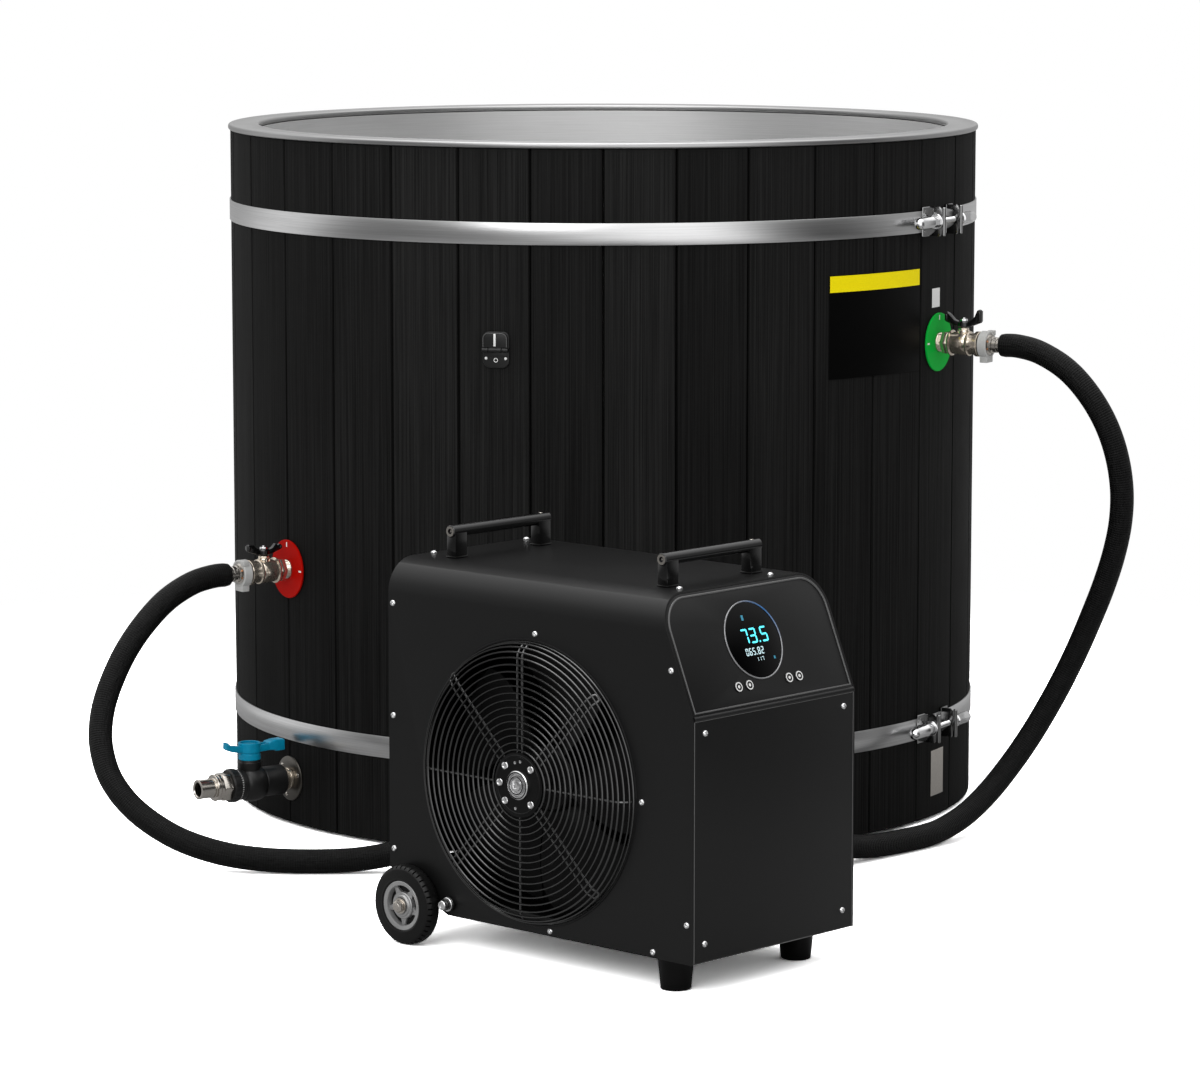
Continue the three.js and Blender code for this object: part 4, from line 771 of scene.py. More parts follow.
def buildBands():
    inner, outer, height, middles = pick(bandSettings, "inner outer height middles")
    for name, middle in middles.items():
        place = onWall(bandSettings["clampAngle"], middle)
        strap = hollow([(inner, 0), (outer - 0.3, 0), (outer, 0.5), (outer, height - 0.5),
                        (outer - 0.3, height), (inner, height)], 256, "Z", middle - height / 2)
        lugs = moved(together(lugShape(-1), lugShape(1)), place)
        # The lugs take the darker steel copy, painting their dark reflection
        piece(f"{name}Hoop", together(strap, tinted(lugs, 1)), "bandSteel lugSteel",
              replaces=f"{name}_band")
        piece(f"{name}ClampBolt", clampBoltShape(), "polishedSteel",
              place @ at(bandSettings["boltAt"]), replaces=f"{name}_clamp_bolt")
    print("bands made")


buildBands()

# Plates on the staves, each with two radii, two angles, two heights, its steps and its edge
plateSettings = dict(board=(525.3, 526.25, 34.8, 54.6, 630, 769, 40, 0.3),
                     header=(526.15, 526.5, 34.92, 54.48, 746, 767.8, 40, 0.1),
                     tag=(525.3, 525.8, 58.45, 60.95, 712, 738, 6, 0.15),
                     badge=(525.3, 525.9, 59.5, 63.9, 33, 97, 8, 0.2))


def buildPlates():
    plates = {name: wallStrip(*measures) for name, measures in plateSettings.items()}
    sign = together(plates["board"], tinted(plates["header"], 1))
    piece("signBoard", sign, "signBlack signYellow", replaces="sign_plate")
    piece("blankTag", plates["tag"], "tagWhite")
    piece("blankBadge", plates["badge"], "satinSteel")
    print("plates made")


# Catch: a rounded plate with two knuckles and a pin, and the flap that turns on it
catchSettings = dict(angle=-15.5, height=678, seat=525.3, plateThickness=3, width=36, tall=48, hinge=3,
                     pin=1.5, flapTall=23, leafThickness=2, lowRound=10, highRound=8, rivetAt=(13.4, -11.2),
                     ringAt=-13.6)


def buildCatch():
    seat, sheet, width, hinge, pinRadius = pick(catchSettings, "seat plateThickness width hinge pin")
    top, thick, low, high, ringAt = pick(catchSettings, "flapTall leafThickness lowRound highRound ringAt")
    tall, wide, knuckle = catchSettings["tall"] / 2, width / 2, width / 4
    place = onWall(catchSettings["angle"], catchSettings["height"])
    front = seat + sheet
    hingeX = front + hinge + fitGap
    outline = arcPoints(wide - low, low - tall, low, -90, 0, 6) + arcPoints(wide - high, tall - high, high, 0,
                                                                            90, 5)
    outline += arcPoints(high - wide, tall - high, high, 90, 180, 5)
    outline += arcPoints(low - wide, low - tall, low, 180, 270, 6)
    strap = [(2.5 - wide, -9), (wide - 2.5, -9), (wide - 1, -hinge), (1 - wide, -hinge)]
    shapes = [moved(slab(outline, sheet - 0.1, 0.9, 3), at(seat) @ standingX),
              moved(slab(strap, 0.9, 0.35), at(front - 0.2) @ standingX)]
    for y in (-wide + 0.2, wide - knuckle + 0.2):
        shapes.append(moved(rod(hinge, knuckle - 0.4, 0.6, 24, "Y", y), at(hingeX)))
        shapes.append(brick((front - 0.5, y, -hinge), (hingeX, y + knuckle - 0.4, hinge - 0.4), 0.5))
    pin = moved(rod(pinRadius, width - knuckle, 0.2, 16, "Y", (knuckle - width) / 2), at(hingeX))
    y, z = catchSettings["rivetAt"]
    rivets = [moved(spun([(0, 0), (1.9, 0), (1.7, 0.5), (0, 0.7)], 24, "X"), at(front - 0.1, side * y, z))
              for side in (-1, 1)]
    keeper = moved(ringOf(2.5, 0.55, 8, 32, "X"), at(front + 0.1, 0, ringAt))
    # The pin takes the lighter edge finish, a painted highlight
    piece("catchPlate", together(*shapes, tinted(pin, 1), tinted(together(*rivets, keeper), 2)),
          "blackPlastic edgeLine whitePrint", place, replaces="catch_plate")

    def roundTop(radius):
        right = arcPoints(leafHalf - high, top - high, radius, 0, 90, 6)
        return right + arcPoints(high - leafHalf, top - high, radius, 90, 180, 6)

    half, leafHalf, leafLow = wide - knuckle - fitGap, wide - 1.2, hinge + 0.6
    barrel = hollow([(pinRadius + 0.25, -half), (hinge - 0.4, -half), (hinge, -half + 0.4),
                     (hinge, half - 0.4), (hinge - 0.4, half), (pinRadius + 0.25, half)], 28, "Y")
    leafOutline = [(-leafHalf, leafLow), (leafHalf, leafLow), *roundTop(high)]
    leaf = moved(slab(leafOutline, thick, 0.6), at(-0.2) @ standingX)
    root = brick((-0.2, -half, 0), (thick - 0.6, half, leafLow + 3), 0.4)
    line = [(leafHalf - 0.7, leafLow + 0.5), *roundTop(high - 0.7), (0.7 - leafHalf, leafLow + 0.5)]
    # A lighter line round the leaf's edge paints a highlight
    rim = swept([(thick - 0.3, y, z) for y, z in line], 0.55, 8)
    # A white stripe up the leaf paints a glint
    glintStripe = brick((thick - 0.5, -1.6, leafLow + 1.5), (thick + 0.5, 1.4, top - 1.2), 0.4)
    piece("catchFlap", together(barrel, root, leaf, tinted(rim, 1), tinted(glintStripe, 2)),
          "blackPlastic edgeLine whitePrint", place @ at(hingeX), body="catch_flap", replaces="catch_flap")
    print("catch made")


buildPlates()
buildCatch()

# Water valves: printed disc, nickel body with its stem, butterfly handle, hose union with a clamp ring
valveSettings = dict(disc=40, discFrom=525.3, discTo=528.3, tickFrom=30.5, tickTo=37, tickHalf=1.2, pipe=13,
                     innerEnd=482.7, start=528.6, stemX=564.6, end=590.6, bore=8, stem=4.5, handleLow=22,
                     handleReach=27, wingThickness=6.5, ribThickness=11, unionFrom=590.9, unionTo=604.9,
                     union=18.4, lugHalf=9.3, lugDepth=24.4, tailTo=621.9, tail=10, rivetAt=12.4,
                     # colour of the disc, side of its second tick, tops of the handle's outer and inner wing
                     kinds={"supply": ("green", -1, 47, 42), "return": ("red", 1, 38, 36)})


def valveBodyShape():
    bore, pipe, inner, start, mid, end = pick(valveSettings, "bore pipe innerEnd start stemX end")
    threads = [(bore, inner), (pipe - 0.4, inner), (pipe, inner + 0.4), (pipe, start + 0.2)]
    for x in [start + 0.6 + i * 1.5 for i in range(5)]:
        threads += [(pipe, x), (pipe - 0.5, x + 0.75)]
    threads += [(pipe, start + 9), (bore, start + 9)]
    casting = [(bore, start + 16), (15, start + 16), (17.2, start + 17), (17.6, start + 18),
               (17.6, start + 19.6), (15.2, start + 21), (15.4, mid - 9), (16, mid - 6), (16.2, mid),
               (16, mid + 5), (15.4, mid + 7), (16.6, mid + 7.6), (16.9, mid + 8.2), (16.9, mid + 9.8),
               (15.2, mid + 11), (14.6, mid + 15), (14.6, end - 6.4), (17.2, end - 6), (17.2, end - 1),
               (16.6, end - 0.4), (bore, end - 0.4)]
    hexIn = bored(hexNut(16.8, 9.5, 0.9, "X", start + 7.5), bore, 530, 560)
    stem = rod(valveSettings["stem"], 6, 0.5, 24, "Z", 16)
    neck = moved(together(rod(8.6, 18, 1), hexNut(7.6, 4, 0.6, "Z", 17), stem), at(mid))
    flats = [moved(across([(-6, -4.6), (6, -4.6), (6, 4.6), (-6, 4.6)], 1, 0.4), at(mid - 3, y))
             for y in (-16.5, 16.3)]
    return together(hollow(threads, 48, "X"), hexIn, hollow(casting, 56, "X"),
                    bored(neck, bore - 0.2, mid - 12, mid + 12), *flats)


def valveHandleShape(outerTop, innerTop):
    # Bow-tie wings, taller towards their tips, on a round boss
    low, reach, wingThick, ribThick = pick(valveSettings, "handleLow handleReach wingThickness ribThickness")
    shapes = [rod(8, 8, 1.4, 32, "Z", low)]
    for side, top in ((1, outerTop), (-1, innerTop)):
        wing = [(4, low + 0.6), (9, low + 0.8), (14, low + 2.2), (20, low + 4.5), (reach - 3, low + 6),
                (reach - 0.6, low + 7), (reach, low + 9), (reach, top - 2.5), (reach - 1, top - 0.6),
                (reach - 3, top), (reach - 6, top - 1.5), (17, low + 15), (12, low + 10), (7, low + 8),
                (4, low + 7.4)]
        rib = [(reach - 4.2, low + 8), (reach - 0.4, low + 8.5), (reach - 0.4, top - 2),
               (reach - 4.2, top - 2.6)]
        for outline, thick, edge in ((wing, wingThick, 1.3), (rib, ribThick, 1.2)):
            shapes.append(across([(side * x, z) for x, z in outline[::side]], thick, edge, 3))
    metal = together(hexNut(5.6, 3.4, 0.5, "Z", low + 8), rod(2.4, 5, 0.4, 16, "Z", low + 8))
    return together(*shapes, tinted(metal, 1))


def unionShape():
    # Grey clamp ring with its lug, on a steel tail with four rivets
    start, end, bore, r, lugHalf = pick(valveSettings, "unionFrom unionTo bore union lugHalf")
    lugDepth, tail, tailTo, rivetAt = pick(valveSettings, "lugDepth tail tailTo rivetAt")
    ring = hollow([(13.2, start + 1.5), (r - 0.8, start + 1.5), (r, start + 2.3), (r, end - 0.8),
                   (r - 0.8, end), (15.6, end), (14.8, end - 1.2), (13.2, end - 1.2)], 64, "X")
    lug = brick((start + 2.2, -lugHalf, -lugDepth), (end - 0.4, lugHalf, -r + 3.4), 0.9, 3)
    ear = brick((end - 8, 6.5, 11.5), (end + 1, 15.5, 18.5), 1, 3)
    gasket = rod(12.8, 4, 0.3, 40, "X", start)
    tube = hollow([(bore, start), (14, start), (14, end - 0.6), (13, end + 0.2), (11.6, end + 0.8),
                   (11.6, end + 5), (10.6, end + 5.6), (10.6, end + 11), (tail, end + 11.6), (tail, tailTo),
                   (bore, tailTo)], 48, "X")
    rivets = [moved(rod(1.5, 1.4, 0.5, 16, "X", end - 0.2), at(0, *polar(rivetAt, angle)))
              for angle in (25, 155, 205, 335)]
    return together(ring, lug, ear, tinted(gasket, 2), tinted(tube, 1), tinted(together(*rivets), 3))


def buildValves():
    disc, low, high, hole, stemX = pick(valveSettings, "disc discFrom discTo pipe stemX")
    tickFrom, tickTo, half = pick(valveSettings, "tickFrom tickTo tickHalf")
    for name, (color, side, *wingTops) in valveSettings["kinds"].items():
        place = onWall(*wallPorts[name])
        plate = hollow([(hole + 0.5, low), (disc - 0.5, low), (disc, low + 0.6), (disc, high - 0.8),
                        (disc - 0.8, high - 0.1), (hole + 0.5, high - 0.1)], 96, "X")
        begin, end = sorted((side * tickFrom, side * tickTo))
        ticks = together(brick((high - 0.2, -half, tickFrom), (high, half, tickTo), 0.05, 1),
                         brick((high - 0.2, begin, -half), (high, end, half), 0.05, 1))
        piece(f"{name}Disc", together(plate, tinted(ticks, 1)), f"{color}Print whitePrint",
              place, replaces=f"{name}_disc")
        piece(f"{name}Valve", valveBodyShape(), "nickel", place, replaces=f"{name}_valve_body")
        piece(f"{name}Handle", valveHandleShape(*wingTops), "glossBlack polishedSteel",
              place @ at(stemX), body=f"{name}_valve_handle", replaces=f"{name}_valve_handle")
        piece(f"{name}Union", unionShape(), "greyPlastic satinSteel glossBlack copperDot",
              place, replaces=f"{name}_hose_union")
    print("valves made")


buildValves()

# Drain: screwed flange, black ball valve, blue lever, steel spout
drainSettings = dict(flange=31, flangeFrom=525.3, flangeTo=528.3, start=528.6, innerEnd=482.7, bore=8,
                     pipe=11, nipple=15, nippleTo=539.6, sleeve=20.5, sleeveTo=572.6, waist=22, ball=24.8,
                     waistTo=604.6, nut=22.6, nutTo=625.6, ribs=24, teeth=40, stemX=590.6, bonnet=16,
                     bonnetTop=33, screwAngles=(17, 137, 257), screwAt=23.5, leverOut=39, leverIn=52,
                     hexFrom=625.9, hexTo=639.9, hexRadius=20, collarTo=648.9, spout=13, spoutTo=672.9)


def drainBodyShape():
    bore, inner, pipe, start, nip, nipTo = pick(drainSettings, "bore innerEnd pipe start nipple nippleTo")
    sleeve, sleeveTo, waist, ball, end, nut = pick(drainSettings, "sleeve sleeveTo waist ball waistTo nut")
    nutTo, ribCount, toothCount, mid, cap, top = pick(drainSettings,
                                                      "nutTo ribs teeth stemX bonnet bonnetTop")
    tube = hollow([(bore, inner), (pipe, inner), (pipe, start - 0.1), (nip, start), (nip, start + 3),
                   (nip - 0.6, start + 3.6), (nip - 0.6, start + 5), (nip + 0.6, start + 5.8),
                   (nip + 0.6, nipTo + 3), (bore, nipTo + 3)], 56, "X")
    casting = hollow([(bore, nipTo), (sleeve - 1.5, nipTo), (sleeve, nipTo + 1.5), (sleeve, sleeveTo - 1.2),
                      (sleeve - 0.6, sleeveTo - 0.4), (sleeve - 0.6, sleeveTo), (waist - 0.3, sleeveTo + 0.8),
                      (ball - 1, sleeveTo + 6), (ball, sleeveTo + 12), (ball, sleeveTo + 19),
                      (ball - 1.2, end - 6), (waist - 0.4, end - 2.4), (waist - 1.2, end - 1.8),
                      (waist - 1.2, end), (bore, end)], 64, "X")
    collar = hollow([(bore, end - 0.5), (nut - 2.2, end - 0.5), (nut - 1.4, end + 0.6), (nut - 1.4, end + 6),
                     (nut - 2.2, end + 7), (nut - 2.2, end + 9), (nut, end + 10), (nut, nutTo - 1.4),
                     (nut - 1.4, nutTo), (bore, nutTo)], 72, "X")
    ribs = [moved(brick((end + 10.6, -1.1, nut - 0.8), (nutTo - 1.2, 1.1, nut + 0.5), 0.35, 1),
                  turned(360 / ribCount * i, "X")) for i in range(ribCount)]
    teeth = [moved(brick((end + 6.9, -0.8, nut - 2.6), (end + 9, 0.8, nut - 1.5), 0.2, 1),
                   turned(360 / toothCount * i, "X")) for i in range(toothCount)]
    bonnet = moved(spun([(0, 0), (cap - 0.4, 0), (cap - 0.4, top - 8), (cap, top - 7), (cap, top - 3),
                         (cap - 0.8, top - 2.2), (cap - 0.8, top - 0.6), (cap - 1.2, top), (0, top)], 56),
                   at(mid))
    return together(tinted(tube, 1), casting, collar, bored(bonnet, bore, mid - 20, mid + 20), *ribs,
                    tinted(together(*teeth), 2))


def drainLeverShape():
    low, out, back = drainSettings["bonnetTop"] + fitGap, drainSettings["leverOut"], -drainSettings["leverIn"]
    hub = spun([(0, low), (14.2, low), (15.2, low + 1), (15.2, low + 8), (14.4, low + 9), (14.4, low + 10.5),
                (15.5, low + 11.5), (15.5, 56.2), (14.9, 57), (13.4, 57), (12.8, 56.2), (12.8, 53.5),
                (0, 53.5)], 64)
    cap = spun([(0, 53), (9, 53), (9.4, 53.4), (9.4, 54.6), (8.8, 55.2), (0, 55.2)], 40)
    arm = [(-8, 44.2), (14, 44.2), (22, 45), (30, 46.6), (36, 49), (out, 51.6), (out - 0.4, 60.4),
           (out - 3, 60), (33, 56.8), (26, 54.4), (18, 53.2), (-8, 53.2)]
    spine = [(-30, 44.2), (-10, 44.2), (-10, 48), (-30, 48)]
    paddle = [(back, 43), (back + 1.5, 42), (back + 14, 42), (back + 15, 43.4), (back + 24, 44),
              (back + 25.5, 45), (back + 25.5, 54), (back + 24, 55.5), (back + 14, 57.5), (back + 1.5, 57.5),
              (back, 56)]
    bars = [across(arm, 12, 1.4, 3), across(spine, 15, 0.8), across(paddle, 17, 1.5, 3)]
    for side in (-1, 1):
        rail = [(-10, side * 11.5), (-28, side * 8.2), (-28, side * 4.4), (-10, side * 6.6)]
        bars.append(moved(slab(rail[::-side], 9.5, 1), at(0, 0, 44.2)))
    return together(hub, cap, *bars)


def spoutShape():
    bore, start, end, radius, neckTo, spout, tip = pick(drainSettings,
                                                        "bore hexFrom hexTo hexRadius collarTo spout spoutTo")
    hexagon = bored(hexNut(radius + 0.6, end - start, 1.4, "X", start), bore + 2, 620, 645)
    tube = hollow([(bore + 2, end - 0.5), (18, end - 0.5), (18, end + 4), (17.2, end + 4.6), (17.2, end + 6),
                   (18.4, end + 6.6), (18.4, neckTo - 0.8), (17.6, neckTo), (spout + 0.6, neckTo),
                   (spout, neckTo + 0.6), (spout, tip - 3), (spout + 0.7, tip - 2.4),
                   (spout + 0.7, tip - 0.5), (spout, tip), (bore + 2.4, tip), (bore + 1.6, tip - 1),
                   (bore + 1.6, end - 0.5)], 64, "X")
    return together(hexagon, tube)


def buildDrain():
    pipe, radius, low, high, screwAt, angles = pick(drainSettings,
                                                    "pipe flange flangeFrom flangeTo screwAt screwAngles")
    place = onWall(*wallPorts["drain"])
    flange = hollow([(pipe + 0.6, low), (radius - 0.3, low), (radius, low + 0.5), (radius - 0.4, high - 0.9),
                     (radius - 1.6, high - 0.4), (18, high - 0.1), (pipe + 0.6, high - 0.1)], 96, "X")
    screws = []
    for y, z in [polar(screwAt, angle) for angle in angles]:
        head = moved(spun([(0, 0), (3.3, 0), (3.1, 0.7), (2, 1.4), (0, 1.7)], 24, "X"), at(high - 0.5, y, z))
        cross = [brick((high + 0.3, y - a, z - b), (high + 3, y + a, z + b), 0) for a,
                 b in ((1.8, 0.35), (0.35, 1.8))]
        screws.append(tinted(carved(head, cross), 1))
    piece("drainFlange", together(flange, *screws), "flangeSteel satinSteel", place,
          replaces="drain_flange")
    piece("drainValve", drainBodyShape(), "blackPlastic nickel greyPlastic", place,
          replaces="drain_valve_body")
    piece("drainLever", drainLeverShape(), "bluePlastic", place @ at(drainSettings["stemX"]),
          body="drain_lever", replaces="drain_lever")
    piece("drainSpout", spoutShape(), "satinSteel", place, replaces="drain_union")
    print("drain made")


buildDrain()


# Chiller cabinet: bent cover, end panel, tray, service door and their screws
def sectionPoints(inset, bottom):
    # Half-round shoulders of the cabinet, in Y and Z, drawn in by an inset
    s = chillerSettings
    half, top, roll = s["halfDepth"] - inset, s["topZ"] - inset, s["roll"] - inset
    right = [(half, bottom), *arcPoints(half - roll, top - roll, roll, 0, 90, s["rollSteps"])]
    return right + [(-y, z) for y, z in right[::-1]]


def upSlope(z):
    return (z - chillerSettings["kinkZ"]) / math.cos(math.radians(slopeAngle))


fanSettings = dict(x=-12, z=224, hole=172, lipWidth=2.2, lipProud=1.3, frontRing=42.4, pitch=8.5,
                   frontCount=14, frontY=-18, backRings=((159.5, -16.2), (165, -12.2), (168.6, -6.8),
                                                         (170.1, -1.4)), wire=1.15,
                   spokeWire=1.45, spokeY=-15.7, plate=39, lip=35.2, boltAt=30, hub=17.5, topGap=3.8,
                   diagonalGap=5)
fanPlace = chillerPlace @ at(fanSettings["x"], -chillerSettings["halfDepth"], fanSettings["z"])
coverSettings = dict(reach=400, slots=12, slotPitch=22, slotHalf=5, slotFrom=-66, slotTo=186, slotRound=4.4,
                     portHoles=(-200, -140), portHole=15.6, portZ=125, edge=0.45)


def buildCover():
    sheet, bottom, length, depth, kink = pick(chillerSettings, "sheet bottomZ halfLength halfDepth kinkZ")
    cut, height = pick(chillerSettings, "cornerLength cornerHeight")
    fanX, fanZ, hole, lipWidth, proud = pick(fanSettings, "x z hole lipWidth lipProud")
    reach, count, pitch, half, fromX, toX = pick(coverSettings,
                                                 "reach slots slotPitch slotHalf slotFrom slotTo")
    outline = sectionPoints(0, bottom) + sectionPoints(sheet, bottom)[::-1]
    shell = moved(slab(outline, length * 2), at(-length) @ standingX)
    rise = reach / math.tan(math.radians(slopeAngle))
    wedge = [(length, kink), (length + reach, kink), (length + reach, kink + rise),
             (length - reach, kink + rise)]
    corner = [(-length - cut, bottom - height), (-length + cut, bottom - height), (-length + cut, bottom),
              (-length, bottom + height), (-length - cut, bottom + 2 * height)]
    cutters = [across(wedge, reach), across(corner, reach),
               moved(drill(hole, 20, -10, 160, "Y"), at(fanX, -depth, fanZ))]
    for z in [fanZ + (i - (count - 1) / 2) * pitch for i in range(count)]:
        cutters.append(brick((fromX, depth - 10, z - half), (toX, depth + 10, z + half),
                             coverSettings["slotRound"], 4))
    for x in coverSettings["portHoles"]:
        cutters.append(moved(drill(coverSettings["portHole"], 20, -10, 40, "Y"),
                             at(x, depth, coverSettings["portZ"])))
    lip = hollow([(hole - 0.1, -proud), (hole + lipWidth - 0.6, -proud), (hole + lipWidth, 0.4),
                  (hole - 0.1, 0.4)],
                 160, "Y")
    cover = together(carved(shell, cutters, coverSettings["edge"]), moved(lip, at(fanX, -depth, fanZ)))
    piece("chillerCover", cover, "powderCoat", chillerPlace, replaces="cover_shell",
          sharpAngle=30)
    inset = sheet + fitGap
    low = bottom + height + inset / math.cos(math.atan2(height, cut))
    panel = moved(slab(sectionPoints(inset, low), sheet, 0.4), at(-length) @ standingX)
    piece("leftEndPanel", panel, "powderCoat", chillerPlace, replaces="left_end_panel")
    print("cover made")


screwSettings = dict(radius=4, height=2.3, tallHeight=2.8, screwsOnDoor=((-124, 314), (124, 314), (-124, 65),
                                                                         (124, 65)),
                     screwsInFront=((-242, 417), (-2, 405), (-242, 278), (-242, 112), (170, 225), (216, 386),
                                    (241, 89), (22, 48.5), (188, 49)),
                     screwsBehind=((-242, 417), (0, 417), (-242, 278), (-242, 112), (216, 386), (241, 89)),
                     screwsOnTop=((-243, -73), (-243, 91), (174, -85), (179, 71)),
                     screwsOnEnd=((-118, 400), (118, 400), (-118, 120), (118, 120)))


def panHead(height):
    # A pan-head screw with a deep socket, standing on X = 0
    r = screwSettings["radius"]
    return spun([(0, -0.4), (r - 0.2, -0.4), (r, 0.1), (r * 0.92, height * 0.55), (r * 0.72, height * 0.9),
                 (r * 0.56, height), (r * 0.44, height - 0.2), (r * 0.4, 0.3), (0, 0.3)], 28, "X")


def buildScrews():
    s = screwSettings
    length, depth, top = pick(chillerSettings, "halfLength halfDepth topZ")
    places = [at(x, -depth, z) @ turned(-90) for x, z in s["screwsInFront"]]
    places += [at(x, depth, z) @ turned(90) for x, z in s["screwsBehind"]]
    places += [at(length, y, z) for y, z in s["screwsOnDoor"]]
    places += [at(-length, y, z) @ turned(180) for y, z in s["screwsOnEnd"]]
    heads = [moved(panHead(s["height"]), place) for place in places]
    for x, y in s["screwsOnTop"]:
        heads.append(moved(panHead(s["tallHeight"]), at(x, y, top) @ turned(-90, "Y")))
    piece("cabinetScrews", together(*heads), "polishedSteel", chillerPlace)


doorSettings = dict(top=329.6, edge=0.7, line=0.6, lineInset=0.25)
traySettings = dict(sheet=2, lip=22)


def buildPanels():
    sheet, length, depth, bottom = pick(chillerSettings, "sheet halfLength halfDepth bottomZ")
    cut, height = pick(chillerSettings, "cornerLength cornerHeight")
    top, edge, line, lineInset = pick(doorSettings, "top edge line lineInset")

    def corners(side, low, high):
        return [(-side, low), (side, low), (side, high), (-side, high)]

    half = depth - sheet - fitGap
    door = slab(corners(half, bottom + fitGap, top), sheet, edge, 3)
    # Thin lines round the door's edge in a lighter finish: painted highlights
    route = corners(half - line, bottom + fitGap + line, top - line)
    front = length - lineInset
    highlightLines = [swept([(front, *a), (front, *b)], line, 10) for a, b in zip(route, route[1:] + route[:1])]
    piece("serviceDoor", together(moved(door, at(length - sheet) @ standingX), tinted(together(*highlightLines), 1)),
          "powderCoat edgeLine", chillerPlace, replaces="service_panel")
    # Tray: flat floor, slope over the wheels, turned-up lips
    thick, lip = pick(traySettings, "sheet lip")
    lowX, cornerX, endX = -length + sheet + fitGap, -length + cut, length - fitGap - sheet
    rise = (cornerX - lowX) * height / cut
    floor = [(endX, bottom), (endX, bottom + thick), (cornerX, bottom + thick), (lowX, bottom + rise + thick),
             (lowX, bottom + rise), (cornerX, bottom)]
    lips = [brick((cornerX, y, bottom), (endX, y + thick, bottom + lip), 0.4) for y in (-half, half - thick)]
    piece("cabinetTray", together(across(floor, half * 2), *lips), "powderCoat", chillerPlace,
          replaces="base_tray")
    print("panels made")


# Sloping control panel with its bead, round display and four buttons
controlSettings = dict(sheet=2, beadInset=6.2, bead=1.3, beadX=0.15, displayY=-5, displayZ=406, display=47,
                       glassProud=0.8, rim=47.2, rimWire=0.95, blueReflectionAt=48, blueReflectionSpread=55,
                       buttons=(-54, -35, 36, 54), buttonZ=358, button=6.3, buttonProud=1.6, ledgeRadius=3.6,
                       figureHeight=0.12,
                       # text, left, low, height, width, stroke, gap
                       bigFigures=(("73.5", -19, -4.2, 18.6, 11.4, 2.2, 2.9),),
                       smallFigures=(("065.82", -19.5, -18.2, 9, 4.6, 1.25, 1.5),
                                     ("117", -4.5, -26.2, 5, 3.4, 0.85, 1.3)),
                       marks=(((-10.6, 24.5), (-7, 31)), ((25.6, -26.5), (28.4, -23))))
segmentRows = {"0": "abcdef", "1": "bc", "2": "abged", "3": "abgcd", "5": "afgcd", "6": "afgedc", "7": "abc",
               "8": "abcdefg"}


def digitShapes(text, y, low, height, width, stroke, gap):
    # Seven-segment figures lying on the glass, in the control panel's Y and Z
    x, raised = pick(controlSettings, "glassProud figureHeight")
    middle, high, cut = low + height / 2, low + height, stroke * 0.35
    upper, lower = (middle + stroke * 0.3, high - stroke * 0.4), (low + stroke * 0.4, middle - stroke * 0.3)
    shapes = []
    for figure in text:
        if figure == ".":
            shapes.append(brick((x, y, low), (x + raised, y + stroke * 0.9, low + stroke), 0.03, 1))
            y += stroke * 0.9 + gap
            continue
        right = y + width
        flat, near, far = (y + stroke * 0.5, right - stroke * 0.5), (y, y + stroke), (right - stroke, right)
        bars = dict(a=(*flat, high - stroke, high), g=(*flat, middle - stroke / 2, middle + stroke / 2),
                    d=(*flat, low, low + stroke), f=(*near, *upper), b=(*far, *upper), e=(*near, *lower),
                    c=(*far, *lower))
        for y0, y1, z0, z1 in [bars[bar] for bar in segmentRows[figure]]:
            outline = [(y0 + cut, z0), (y1 - cut, z0), (y1, z0 + cut), (y1, z1 - cut), (y1 - cut, z1),
                       (y0 + cut, z1), (y0, z1 - cut), (y0, z0 + cut)]
            shapes.append(moved(slab(outline, raised), at(x) @ standingX))
        y += width + gap
    return shapes


